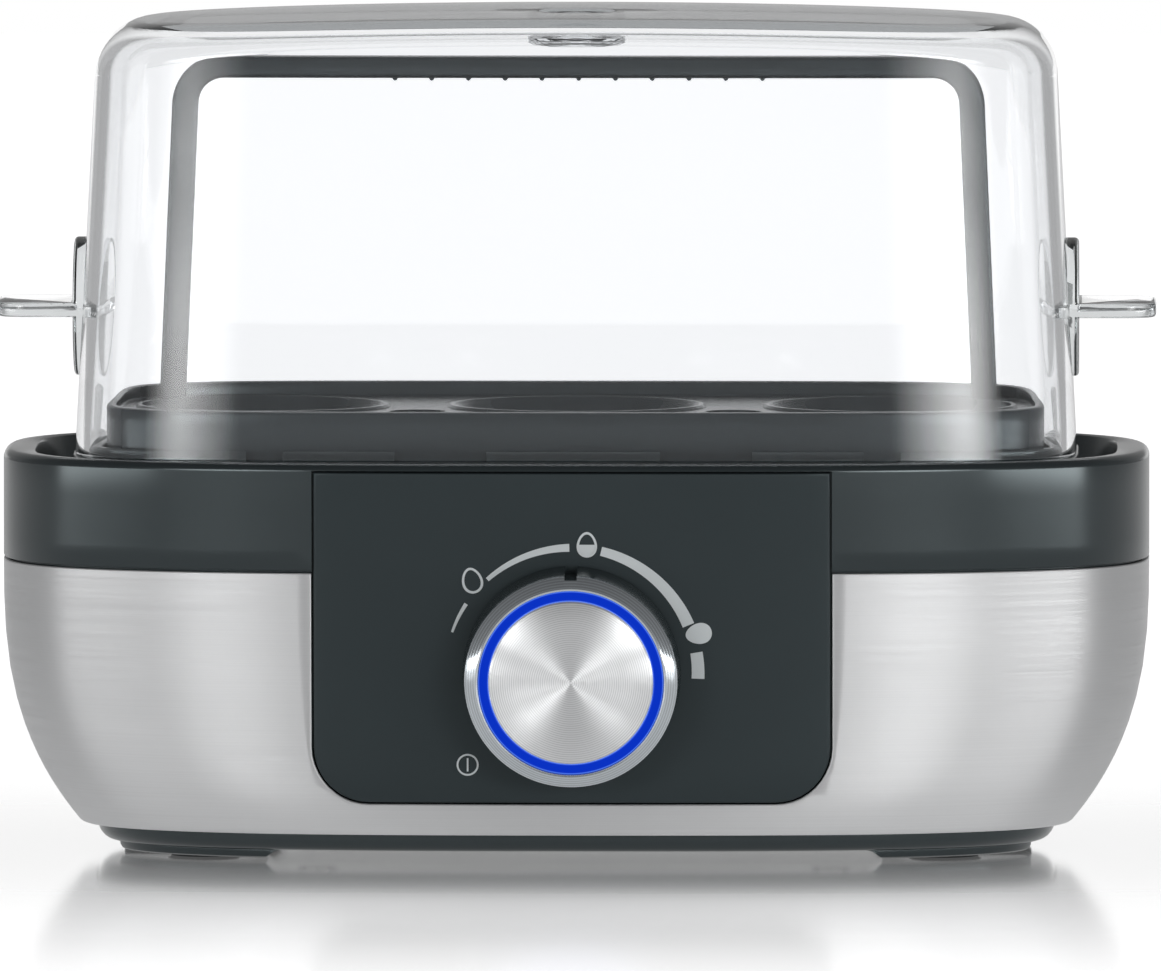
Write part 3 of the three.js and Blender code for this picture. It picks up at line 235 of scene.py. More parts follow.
def loft(name, rings, closed=False):
    """A skin through rings, from the first to the last. A closed one goes back to the first."""
    count = len(rings[0])
    rows = [range(at, at + count) for at in range(0, count * len(rings), count)]
    faces = joined(rows, closed)
    if not closed:
        faces += [tuple(rows[0])[::-1], tuple(rows[-1])]
    return make(name, [point for ring_here in rings for point in ring_here], faces)


def spin(name, profile, sides, place=KNOB_PLACE, centre=(0, 0)):
    """Turns a profile of (radius, height) round Z. A profile whose ends lie off the axis is closed."""
    points, rows = [], []
    for radius, height in profile:
        if radius < 1e-6:
            rows.append([len(points)] * sides)
            points.append((*centre, height))
            continue
        rows.append([len(points) + i for i in range(sides)])
        for i in range(sides):
            turn = 2 * math.pi * i / sides
            points.append((centre[0] + radius * math.cos(turn), centre[1] + radius * math.sin(turn), height))
    return make(name, points, joined(rows, closed=profile[0][0] > 1e-6), place)


def rod(name, radius, low, high, sides, place=KNOB_PLACE, centre=(0, 0)):
    return spin(name, [(0, low), (radius, low), (radius, high), (0, high)], sides, place, centre)


def quarter(steps):
    """Pairs of the sine and the cosine along a quarter turn."""
    turns = [math.pi / 2 * i / steps for i in range(steps + 1)]
    return [(math.sin(turn), math.cos(turn)) for turn in turns]


def arc(cx, cy, radius, start, end, steps):
    """Points of an arc, in degrees."""
    turns = [math.radians(start + (end - start) * i / steps) for i in range(steps + 1)]
    return [(cx + radius * math.cos(turn), cy + radius * math.sin(turn)) for turn in turns]


def rounded(profile, radius, steps=3, closed=False):
    """Rounds the corners of a profile."""
    made, count = [], len(profile)
    for i, (x, y) in enumerate(profile):
        ends = not closed and i in (0, count - 1)
        (ax, ay), (bx, by) = profile[i - 1], profile[(i + 1) % count]
        la, lb = math.hypot(ax - x, ay - y), math.hypot(bx - x, by - y)
        if ends or min(la, lb) < 1e-6:
            made.append((x, y))
            continue
        reach = min(radius, 0.45 * min(la, lb))
        start = (x + (ax - x) / la * reach, y + (ay - y) / la * reach)
        end = (x + (bx - x) / lb * reach, y + (by - y) / lb * reach)
        for step in range(steps + 1):
            t = step / steps
            made.append(
                tuple(
                    start[k] * (1 - t) ** 2 + 2 * (x, y)[k] * t * (1 - t) + end[k] * t * t
                    for k in (0, 1)
                )
            )
    return made


def slab(name, points, low, high, place):
    """A flat outline drawn up from low to high."""
    count = len(points)
    verts = [(x, y, low) for x, y in points] + [(x, y, high) for x, y in points]
    faces = [(i, (i + 1) % count, count + (i + 1) % count, count + i) for i in range(count)]
    return make(name, verts, [*faces, tuple(range(count))[::-1], tuple(range(count, 2 * count))], place)


def block(name, size, centre, place=BODY_PLACE, turn=0):
    """A box round its centre, turned round Z."""
    half_x, half_y, half_z = (length / 2 for length in size)
    corners = [(-half_x, -half_y), (half_x, -half_y), (half_x, half_y), (-half_x, half_y)]
    cos, sin = math.cos(turn), math.sin(turn)
    flat = [(centre[0] + x * cos - y * sin, centre[1] + x * sin + y * cos) for x, y in corners]
    return slab(name, flat, centre[2] - half_z, centre[2] + half_z, place)


def front_y(x, z, depth):
    """Where the body's front face is, in from it by a depth."""
    half_x, half_y = body_halves(z)
    return -half_y * (1 - min(1, abs(x) / half_x) ** BODY_POWER) ** (1 / BODY_POWER) + depth


def mapped(name, layers, steps=14):
    """A plate that follows the front face, from its back layer to its front layer.
    A layer is an outline of (x, z) and its depth below the face."""
    points, rows = [], []
    count = len(layers[0][0])

    def row(flat, depth):
        rows.append([len(points) + i for i in range(len(flat))])
        points.extend((x, front_y(x, z, depth), z) for x, z in flat)

    def shrunk(flat, share):
        cx, cz = sum(x for x, _ in flat) / count, sum(z for _, z in flat) / count
        return [(cx + (x - cx) * share, cz + (z - cz) * share) for x, z in flat]

    def centre(flat, depth):
        x, z = shrunk(flat, 0)[0]
        rows.append([len(points)] * count)
        points.append((x, front_y(x, z, depth), z))

    centre(*layers[0])
    for step in range(1, steps):
        row(shrunk(layers[0][0], step / steps), layers[0][1])
    for flat, depth in layers:
        row(flat, depth)
    for step in range(steps - 1, 0, -1):
        row(shrunk(layers[-1][0], step / steps), layers[-1][1])
    centre(*layers[-1])
    return make(name, points, joined(rows))


def panel_outline(grow):
    half, low, high = PANEL_HALF + grow, PANEL_LOW - grow, PANEL_HIGH + grow
    corner = PANEL_CORNER + grow
    across, down = 24, 12
    top = [(half - 2 * half * i / across, high) for i in range(across)]
    left = [(-half, high - (high - low - corner) * i / down) for i in range(down)]
    foot = [(-half + corner + 2 * (half - corner) * i / across, low) for i in range(1, across)]
    right = [(half, low + corner + (high - low - corner) * i / down) for i in range(1, down)]
    return (
        top
        + left
        + arc(-half + corner, low + corner, corner, 180, 270, 10)
        + foot
        + arc(half - corner, low + corner, corner, 270, 360, 10)
        + right
    )


def panel_layers(*steps):
    """Layers of the panel's outline at pairs of how much it is grown and its depth."""
    return [(panel_outline(grow), depth) for grow, depth in steps]


# Materials


def nodes_of(name):
    material = bpy.data.materials.new(name)
    material.use_nodes = True
    tree = material.node_tree
    return material, tree, tree.nodes["Principled BSDF"]


def give(socket, value):
    """Sets an input's value, or links it to another node's output."""
    if isinstance(value, bpy.types.NodeSocket):
        socket.id_data.links.new(value, socket)
    else:
        socket.default_value = value


def feed(node, **values):
    """Sets a node's inputs and settings by name."""
    for key, value in values.items():
        name = key.replace("_", " ")
        if name in node.inputs:
            give(node.inputs[name], value)
        else:
            setattr(node, key, value)
    return node


def add(tree, kind, **values):
    return feed(tree.nodes.new(f"ShaderNode{kind}"), **values)


def combined(operation, first, second):
    """The result of an operation on a socket and on a second socket or a number."""
    node = add(first.id_data, "Math", operation=operation)
    give(node.inputs[0], first)
    give(node.inputs[1], second)
    return node.outputs[0]


def coordinates(tree, stretch):
    """Object coordinates in metres, scaled along each axis."""
    place = add(tree, "TexCoord")
    return add(tree, "Mapping", Vector=place.outputs["Object"], Scale=stretch).outputs["Vector"]


def distance(tree, stretch=(1, 1, 0)):
    """The distance from the piece's own Z axis in metres, with the other axes scaled."""
    far = add(tree, "VectorMath", operation="LENGTH")
    give(far.inputs[0], coordinates(tree, stretch))
    return far.outputs["Value"]


def noise(tree, stretch, detail=3.0, rough=0.55):
    place = coordinates(tree, stretch)
    node = add(tree, "TexNoise", Scale=1.0, Detail=detail, Roughness=rough, Vector=place)
    return node.outputs["Fac"]


def spread(value, low, high, clip=(0.3, 0.7)):
    """Maps a value between two clips to a number between low and high."""
    ends = {"From_Min": clip[0], "From_Max": clip[1], "To_Min": low, "To_Max": high}
    return add(value.id_data, "MapRange", Value=value, **ends).outputs["Result"]


def ramped(value, stops, interpolation="LINEAR"):
    """Maps a value to a ramp of colours, whose stops are pairs of a position and a colour."""
    node = add(value.id_data, "ValToRGB", Fac=value)
    ramp = node.color_ramp
    ramp.interpolation = interpolation
    while len(ramp.elements) < len(stops):
        ramp.elements.new(0.5)
    for element, (position, color) in zip(ramp.elements, stops):
        element.position, element.color = position, (*color, 1)
    return node.outputs["Color"]


def toned(value, color, share):
    """Maps a noise value from a darker to a lighter colour, by a share to either side."""
    dark, light = ([channel * level for channel in color] for level in (1 - share, 1 + share))
    return ramped(value, ((0.3, dark), (0.7, light)))


def surfaced(shader, color, roughness, relief, height):
    """Gives a shader its colour, its roughness and a bump whose full height is in millimetres."""
    bump = add(shader.id_data, "Bump", Strength=1.0, Distance=height * MM, Height=relief)
    feed(shader, Base_Color=color, Roughness=roughness, Normal=bump.outputs["Normal"])


def blended(tree, factor, first, second):
    """Gives the material's surface a mix of two shaders."""
    mixed = add(tree, "MixShader", Fac=factor)
    give(mixed.inputs[1], first.outputs[0])
    give(mixed.inputs[2], second.outputs[0])
    feed(tree.nodes["Material Output"], Surface=mixed.outputs[0])


def moulded(name, color, roughness, grain=2200, height=0.004, shine=0.5):
    """Moulded plastic or rubber: fine tool texture, slight changes of tone and gloss."""
    material, tree, shader = nodes_of(name)
    feed(shader, Specular_IOR_Level=shine, Specular_Tint=(0.84, 0.97, 1.0, 1))
    cloud, texture = noise(tree, (26, 26, 26)), noise(tree, (grain, grain, grain), 2.0)
    gloss = spread(cloud, roughness * 0.92, roughness * 1.08)
    surfaced(shader, toned(cloud, color, 0.06), gloss, texture, height)
    return material


def metal(name, anisotropy):
    """Metal whose highlights are drawn out across lines round the piece's own Z."""
    material, tree, shader = nodes_of(name)
    tangent = add(tree, "Tangent", direction_type="RADIAL", axis="Z").outputs["Tangent"]
    feed(shader, Metallic=1.0, Anisotropic=anisotropy, Anisotropic_Rotation=0.25, Tangent=tangent)
    return material, tree, shader


def brushed(name, color, roughness, stretch, height=0.004, anisotropy=0.5):
    """Metal brushed along the axes with small stretch."""
    material, tree, shader = metal(name, anisotropy)
    lines, line_share = noise(tree, stretch, 4.0, 0.65), 0.65
    fine = combined("MULTIPLY", lines, line_share)
    coarse = combined("MULTIPLY", noise(tree, (14, 14, 60)), 1 - line_share)
    tone = toned(combined("ADD", fine, coarse), color, 0.07)
    surfaced(shader, tone, spread(lines, roughness * 0.82, roughness * 1.2), lines, height)
    return material


def turned(name, color, roughness, pitch, height, anisotropy=0.95):
    """Metal turned in fine rings round the piece's own Z."""
    material, tree, shader = metal(name, anisotropy)
    phase = combined("MULTIPLY", distance(tree), 2 * math.pi / (pitch * MM))
    rings = spread(combined("SINE", phase, 0), 0, 1, (-1, 1))
    gloss = spread(rings, roughness * 0.8, roughness * 1.25)
    surfaced(shader, toned(rings, color, 0.12), gloss, rings, height)
    return material


def clear(name):
    """Smoky clear plastic. Shadow rays go straight through, and so do rays that have met many walls."""
    material, tree, shader = nodes_of(name)
    gloss = spread(noise(tree, (40, 40, 40)), 0.012, 0.03)
    feed(shader, Base_Color=(0.985, 0.99, 1.0, 1), Transmission_Weight=1.0, IOR=1.49, Roughness=gloss)
    through = add(tree, "BsdfTransparent", Color=(0.95, 0.955, 0.96, 1))
    path = add(tree, "LightPath").outputs
    most_walls = 4.5
    deep = combined("GREATER_THAN", path["Ray Depth"], most_walls)
    blended(tree, combined("MAXIMUM", path["Is Shadow Ray"], deep), shader, through)
    smoke = add(tree, "VolumeAbsorption", Color=(0.64, 0.66, 0.66, 1), Density=44.0)
    feed(tree.nodes["Material Output"], Volume=smoke.outputs[0])
    return material


def glowing(name):
    """Translucent plastic lit from behind: deep blue, paler along both its edges."""
    material, tree, shader = nodes_of(name)
    deep, pale = (0.0, 0.024, 0.48), (0.1, 0.24, 0.9)
    across = spread(distance(tree), 0, 1, (GLOW_INNER_R * MM, GLOW_OUTER_R * MM))
    color = ramped(across, ((0.0, pale), (0.12, deep), (0.88, deep), (1.0, pale)))
    feed(shader, Base_Color=(0.004, 0.012, 0.1, 1), Roughness=0.35, Specular_IOR_Level=0.02)
    feed(shader, Emission_Color=color, Emission_Strength=1.0)
    return material


TRAY = moulded("tray_plastic_fine", (0.016, 0.02, 0.023), 0.24, grain=5200, height=0.0008, shine=0.4)
PRINT = moulded("print_fine", (0.7, 0.74, 0.75), 0.55, grain=3000, height=0.001)
SLOT_MATERIALS = {
    made.name.removesuffix("_fine"): made
    for made in (
        moulded("dark_plastic_fine", (0.013, 0.0175, 0.0195), 0.2, grain=5200, height=0.0008, shine=0.7),
        moulded("panel_plastic_fine", (0.024, 0.032, 0.035), 0.4, grain=5200, height=0.0015, shine=0.36),
        moulded("rubber_fine", (0.012, 0.012, 0.013), 0.8, grain=1400, height=0.01),
        moulded("silicone_fine", (0.3, 0.31, 0.3), 0.6),
        moulded("board_fine", (0.02, 0.1, 0.035), 0.4),
        moulded("component_fine", (0.02, 0.02, 0.024), 0.45),
        moulded("ceramic_fine", (0.7, 0.67, 0.58), 0.7, height=0.01),
        brushed("brushed_steel_fine", (0.69, 0.695, 0.7), 0.46, (18, 18, 7000), 0.002, anisotropy=0.8),
        brushed("bowl_steel_fine", (0.6, 0.6, 0.61), 0.24, (60, 60, 3000), 0.002),
        brushed("zinc_steel_fine", (0.5, 0.5, 0.51), 0.35, (400, 400, 400), anisotropy=0.0),
        brushed("plain_aluminium_fine", (0.6, 0.61, 0.62), 0.42, (300, 300, 300), anisotropy=0.0),
        turned("spun_aluminium_fine", (0.86, 0.87, 0.875), 0.36, 0.36, 0.001),
        turned("chrome_fine", (0.58, 0.62, 0.65), 0.14, 0.4, 0.0004, anisotropy=0.3),
        clear("clear_plastic_fine"),
        glowing("lit_blue_fine"),
    )
}

for part in frame["record"]["subparts"]:
    for material_slot in frame["nodes"][part["node"]].material_slots:
        material_slot.material = SLOT_MATERIALS[part["material_slot"]]


def done(obj, body, slot, *nodes, material=None, angle=32):
    """Dresses a piece, shades it smooth up to an angle in degrees, hangs it on its body and hides the parts it
    replaces.
    """
    mesh = obj.data
    mesh.materials.clear()
    mesh.materials.append(material or SLOT_MATERIALS[slot])
    mesh.polygons.foreach_set("material_index", [0] * len(mesh.polygons))
    mesh.shade_smooth()
    mesh.set_sharp_from_angle(angle=math.radians(angle))
    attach(obj, body)
    if nodes:
        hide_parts(*nodes)


# Upper housing: band, rim, moat and collar


SKIRT_LEVELS = [7, 9.6, 13.6, 20, 30, 40]
RIM_ROUND, LIP_EDGE, NOTCH_HEIGHT = 1.4, 0.3, 6


def gland_bore():
    return rod("gland_bore", GLAND_BORE_R, -9, 3, 48, GLAND_PLACE)


def housing():
    rings = [body_ring(z, SKIRT_INSET) for z in [*SKIRT_LEVELS, SEAM_Z]]
    rings += levels(body_ring, (SEAM_Z, 0.25), (SEAM_Z + 0.08, 0.08), (SEAM_Z + 0.25, 0))
    rings += [body_ring(z) for z in (52, 56, 60)]
    rings += [body_ring(RIM_Z - RIM_ROUND * (1 - sin), RIM_ROUND * (1 - cos)) for sin, cos in quarter(7)]
    rings += levels(moat_ring, (RIM_Z, -0.6), (RIM_Z - 0.18, -0.18), (RIM_Z - 0.6, 0))
    floor_z = MOAT_FLOOR_Z
    rings += levels(moat_ring, (floor_z + 1, 0.25), (floor_z + 0.3, 0.55), (floor_z, 1.2))
    rings += levels(cover_ring, (floor_z, -1.2), (floor_z + 0.3, -0.6), (floor_z + 1, -GAP))
    rings += levels(cover_ring, (SEAT_Z - 0.3, -GAP), (SEAT_Z - 0.09, -0.21), (SEAT_Z, 0))
    lip_z = SEAT_Z + LIP_HEIGHT
    rings += levels(cover_ring, (SEAT_Z, LIP_IN), (lip_z - LIP_EDGE, LIP_IN), (lip_z, LIP_IN + LIP_EDGE))
    rings += levels(cover_ring, (lip_z, COLLAR_IN - LIP_EDGE), (lip_z - LIP_EDGE, COLLAR_IN))
    rings += levels(cover_ring, (LEDGE_Z, COLLAR_IN), (LEDGE_Z, LEDGE_IN))
    rings += levels(cover_ring, (LEDGE_Z - DECK_WALL, LEDGE_IN), (LEDGE_Z - DECK_WALL, COLLAR_IN))
    rings += [cover_ring(floor_z - DECK_WALL, COLLAR_IN), body_ring(floor_z - DECK_WALL, SKIRT_INNER)]
    rings += [body_ring(z, SKIRT_INNER) for z in SKIRT_LEVELS[::-1]]
    shell = loft("body_band", rings, closed=True)
    recess = mapped("recess", panel_layers((GAP, PANEL_WALL + GAP), (GAP, -2)))
    hole = rod("hole", SHAFT_BORE_R, -8, 3, 32)
    notches = []
    notch_z = SEAT_Z + 0.02 + NOTCH_HEIGHT / 2
    for side in (-1, 1):
        for x, width in LIP_NOTCHES:
            notches.append(block("notch", (width, 2 * COVER_HALF_Y, NOTCH_HEIGHT), (side * x, 0, notch_z)))
    carve(shell, recess, hole, gland_bore(), *notches)
    done(shell, "housing", "dark_plastic", "upper_housing")


housing()


def front_panel():
    layers = panel_layers(
        (-0.1, PANEL_WALL), (0, PANEL_WALL - 0.1), (0, 0.28), (-0.06, 0.11), (-0.2, 0.02), (-0.45, 0)
    )
    hole = rod("hole", SHAFT_BORE_R, -4, 2, 32)
    plate = carve(mapped("front_panel", layers, steps=20), hole)
    done(plate, "housing", "panel_plastic", "control_panel", angle=50)


front_panel()


# Steel jacket

JACKET_LEVELS = [5.2, 5.8, 6.6, 8, 9.6, 11.4, 13.4, 15.6, 18, 21, 25, 30, 36, 42]
JACKET_INNER_LEVELS = [42, 30, 21, 15, 10, 7, 5.8]


def jacket():
    top = SEAM_Z - SEAM_GAP
    rings = levels(body_ring, (JACKET_FOOT_Z + 0.02, 0.42), (JACKET_FOOT_Z + 0.14, 0.14))
    rings += [body_ring(z) for z in [*JACKET_LEVELS, top - 0.15]]
    rings += levels(body_ring, (top, 0.12), (top, JACKET_WALL))
    rings += [body_ring(z, JACKET_WALL) for z in JACKET_INNER_LEVELS]
    hem_x, hem_y = body_halves(JACKET_FOOT_Z, JACKET_WALL + HEM)
    for z in (JACKET_FOOT_Z + JACKET_WALL, JACKET_FOOT_Z):
        rings.append(ring(hem_x, hem_y, BODY_POWER, z))
    wrap = loft("steel_wrap", rings, closed=True)
    edge = panel_layers((GAP, 6), (GAP, 0.26), (GAP + 0.12, 0.08), (GAP + 0.36, -0.02))
    edge += panel_layers((GAP + 0.6, -0.3), (GAP + 0.6, -2))
    carve(wrap, mapped("window", edge), gland_bore())
    done(wrap, "housing", "brushed_steel", "steel_jacket", angle=28)


jacket()


# Base with its foot blocks, pads and screws

FOOT_X, FOOT_Y, FOOT_Z, FOOT_ROUND, FOOT_REACH, FOOT_WALL = 60.7, 19.5, 0.4, 0.9, 10.4, 1.5
PAD_R, PAD_TOP, STEM_R, STEM_TOP = 5.65, 1.2, 2, 2.8
BASE_Z, BASE_FLOOR_Z, BASE_SPLAY = 1.8, 4.5, 3
SCREW_X, SCREW_Y, SCREW_HEAD_R, SCREW_HEAD_Z, SCREW_SHANK_R = 42, 26, 2.8, BASE_Z + 1.6, 1.2
CORD_POST_X, CORD_POST_Y, CORD_POST_WIDTH, CORD_SCREW_R = 7, 24, 5.2, 1.6
SIGNS = [(-1, -1), (1, -1), (1, 1), (-1, 1)]


def base_ring(z, inset):
    half_x, half_y = body_halves(JACKET_FOOT_Z, JACKET_WALL + HEM + GAP + inset)
    return ring(half_x, half_y, BODY_POWER, z)


def foot_block(sx, sy):
    """It follows the base's outline and ends in a slope towards the middle."""
    top, far_x, far_y = (BASE_Z + BASE_FLOOR_Z) / 2, 100, 50
    rings = levels(base_ring, (FOOT_Z, BASE_SPLAY + FOOT_ROUND), (FOOT_Z + 0.25, BASE_SPLAY + 0.35))
    rings += levels(base_ring, (FOOT_Z + FOOT_ROUND, BASE_SPLAY), (top, BASE_SPLAY))
    inner_x, inner_y = FOOT_X - FOOT_REACH, FOOT_Y - PAD_R - GAP - FOOT_WALL
    slope = [(0.5, FOOT_Z - 0.02), (0.15, FOOT_Z + 0.04), (-0.25, FOOT_Z + 0.3), (-1.3, BASE_Z - 0.25)]
    slope += [(-1.9, BASE_Z - 0.06), (-2.8, BASE_Z + 0.02), (-2.8, top + 1)]
    shape = [(far_x, top + 1), (far_x, FOOT_Z - 1), (inner_x + 0.5, FOOT_Z - 1)]
    shape += [(inner_x + x, z) for x, z in slope]
    low, high = (inner_y, far_y) if sy < 0 else (-far_y, -inner_y)
    wedge = slab("wedge", [(sx * x, z) for x, z in shape], low, high, BODY_PLACE @ UPRIGHT)
    return carve(loft("foot_block", rings), wedge, operation="INTERSECT")


def base():
    rings = levels(base_ring, (BASE_Z, BASE_SPLAY), (BASE_Z + 0.08, 2.3), (BASE_Z + 0.3, 1.6))
    rings += levels(base_ring, (BASE_Z + 0.7, 1.0), (BASE_Z + 1.3, 0.5), (BASE_Z + 1.9, 0.2))
    rings += levels(base_ring, (JACKET_FOOT_Z - 0.4, 0.04), (JACKET_FOOT_Z, 0))
    wall_levels = [5.9, 7.4, 9, 11]
    rings += [body_ring(z, 3.8) for z in wall_levels]
    rings += [body_ring(z, 5.8) for z in wall_levels[::-1]]
    rings.append(base_ring(BASE_FLOOR_Z, 2))
    pan = loft("base_pan", rings)
    unite(pan, *[foot_block(sx, sy) for sx, sy in SIGNS])
    stem_r, stem_top, mouth_r = STEM_R + GAP, STEM_TOP + 2 * GAP, SCREW_HEAD_R + 3 * GAP
    head_r, head_z, shank_r = SCREW_HEAD_R + GAP, SCREW_HEAD_Z + GAP, SCREW_SHANK_R + 2 * GAP
    plug = [(0, -1), (PAD_R + GAP, -1), (PAD_R + GAP, PAD_TOP + GAP)]
    plug += [(stem_r, PAD_TOP + GAP), (stem_r, stem_top), (0, stem_top)]
    well = [(0, 0), (mouth_r, 0), (mouth_r, BASE_Z - 0.1), (head_r, BASE_Z + 0.3)]
    well += [(head_r, head_z), (shank_r, head_z), (shank_r, 9), (0, 9)]
    tools = []
    for sx, sy in SIGNS:
        tools.append(spin("plug", plug, 48, BODY_PLACE, (sx * FOOT_X, sy * FOOT_Y)))
        tools.append(spin("well", well, 32, BODY_PLACE, (sx * SCREW_X, sy * SCREW_Y)))
    for side in (-1, 1):
        at = (GLAND_X + side * CORD_POST_X, CORD_POST_Y)
        unite(pan, block("cord_post", (CORD_POST_WIDTH, CORD_POST_WIDTH, 3.8), (*at, BASE_FLOOR_Z + 1.7)))
        tools.append(rod("bore", CORD_SCREW_R, BASE_FLOOR_Z, 12, 16, BODY_PLACE, at))
    done(carve(pan, *tools), "housing", "dark_plastic", "base_shell")


base()


def pads_and_screws():
    pad = [(0, 0.25), (3.4, 0.25), (3.6, 0), (PAD_R - 0.3, 0), (PAD_R, 0.35), (PAD_R, PAD_TOP)]
    pad = rounded(pad, 0.15) + [(STEM_R, PAD_TOP), (STEM_R, STEM_TOP), (0, STEM_TOP)]
    face_z, tip_z = BASE_Z + 0.05, SCREW_HEAD_Z + 12
    screw = [(0, face_z), (1.9, face_z), (SCREW_HEAD_R, BASE_Z + 0.8), (SCREW_HEAD_R, SCREW_HEAD_Z)]
    screw = rounded(screw, 0.4) + [(SCREW_SHANK_R, SCREW_HEAD_Z), (SCREW_SHANK_R, tip_z), (0, tip_z)]
    for i, (sx, sy) in enumerate(SIGNS, 1):
        made = spin(f"rubber_pad_{i}", pad, 48, BODY_PLACE, (sx * FOOT_X, sy * FOOT_Y))
        done(made, "housing", "rubber", f"foot_pad_{i}")
        at = (sx * SCREW_X, sy * SCREW_Y)
        made = spin(f"floor_screw_{i}", screw, 32, BODY_PLACE, at)
        cross = []
        for turn in (0.4, 0.4 + math.pi / 2):
            cross.append(block("cross", (3, 0.7, 1.6), (*at, BASE_Z + 0.2), turn=turn))
        done(carve(made, *cross), "housing", "zinc_steel", f"base_screw_{i}")


pads_and_screws()


# Heated bowl

BOWL_MOUTH, BOWL_FLOOR_Z, BOWL_WALL, BOWL_BEND, BOWL_SLOPE = 8.3, 51, 0.6, 3, 4
BOWL_FLANGE_Z = LEDGE_Z + 1.4


def bowl_bend(wall):
    """Rings from the floor's edge up into the side, inside the bowl or a wall's thickness outside it."""
    floor_z = BOWL_FLOOR_Z - wall
    floor_in = BOWL_MOUTH + BOWL_SLOPE + BOWL_BEND + BOWL_WALL - wall
    steps = [(floor_z + BOWL_BEND * (1 - cos), floor_in - BOWL_BEND * sin) for sin, cos in quarter(6)]
    return levels(cover_ring, *steps)


def bowl():
    mouth, top = BOWL_MOUTH, BOWL_FLANGE_Z + BOWL_WALL
    edge = COLLAR_IN + GAP
    rings = bowl_bend(BOWL_WALL)
    rings += levels(cover_ring, (BOWL_FLANGE_Z - 0.5, mouth + 0.15), (BOWL_FLANGE_Z, mouth - 0.3))
    rings += levels(cover_ring, (BOWL_FLANGE_Z, edge), (top, edge), (top, mouth + 0.1))
    rings.append(cover_ring(BOWL_FLANGE_Z - 0.1, mouth + 0.75))
    rings += bowl_bend(0)[::-1]
    done(loft("boil_bowl", rings), "housing", "bowl_steel", "heating_bowl")


bowl()


# Egg tray

TRAY_IN, TRAY_WALL, TRAY_FLOOR_Z, TRAY_FLOOR = 4.7, 1.6, 72.4, 1.5
TRAY_FRONT_Z, TRAY_BACK_Z, TRAY_LOW_Z = 73.3, 74.8, 64.9
EGG_PITCH, CUP_R, CUP_SEAT_R, CUP_SEAT_Z, CUP_WALL = 51.75, 19.8, 14.6, 66, 1.4
ARCH_Y, ARCH_FOOT_Z, ARCH_LEAN, LEG_X, LEG_TOP_Z = 20, 66.8, math.radians(2.5), 65.3, 120.4
ARCH_DEPTH, ARCH_BAR, ARCH_LEG = 5, 3.6, 4.6
WATER_HOLE_R, WATER_HOLE_Y = 4.6, -13


def sloped(lower):
    """The height of the tray's edge, which rises from the front to the back, lowered by a length."""
    reach = COVER_HALF_Y - TRAY_IN
    middle, rise = (TRAY_FRONT_Z + TRAY_BACK_Z) / 2, (TRAY_BACK_Z - TRAY_FRONT_Z) / 2
    return lambda _, y: middle + rise * max(-1, min(1, y / reach)) - lower


def tray_pan():
    inner = TRAY_IN + TRAY_WALL
    under = TRAY_FLOOR_Z - TRAY_FLOOR
    rings = levels(cover_ring, (under, inner + 0.5), (under - 0.15, inner + 0.15), (under - 0.5, inner))
    rings += levels(cover_ring, (TRAY_LOW_Z + 0.15, inner), (TRAY_LOW_Z, inner - 0.15))
    rings += levels(cover_ring, (TRAY_LOW_Z, TRAY_IN + 0.2), (TRAY_LOW_Z + 0.2, TRAY_IN))
    rings += [cover_ring(z, TRAY_IN) for z in (67, 69, 71)]
    rings += levels(cover_ring, (sloped(0.5), TRAY_IN), (sloped(0.15), TRAY_IN + 0.1))
    rings += levels(cover_ring, (sloped(0), TRAY_IN + 0.4), (sloped(0), inner - 0.4))
    rings += levels(cover_ring, (sloped(0.15), inner - 0.1), (sloped(0.4), inner))
    rings += levels(cover_ring, (TRAY_FLOOR_Z + 0.25, inner + 0.05), (TRAY_FLOOR_Z, inner + 0.35))
    return loft("egg_rack", rings)


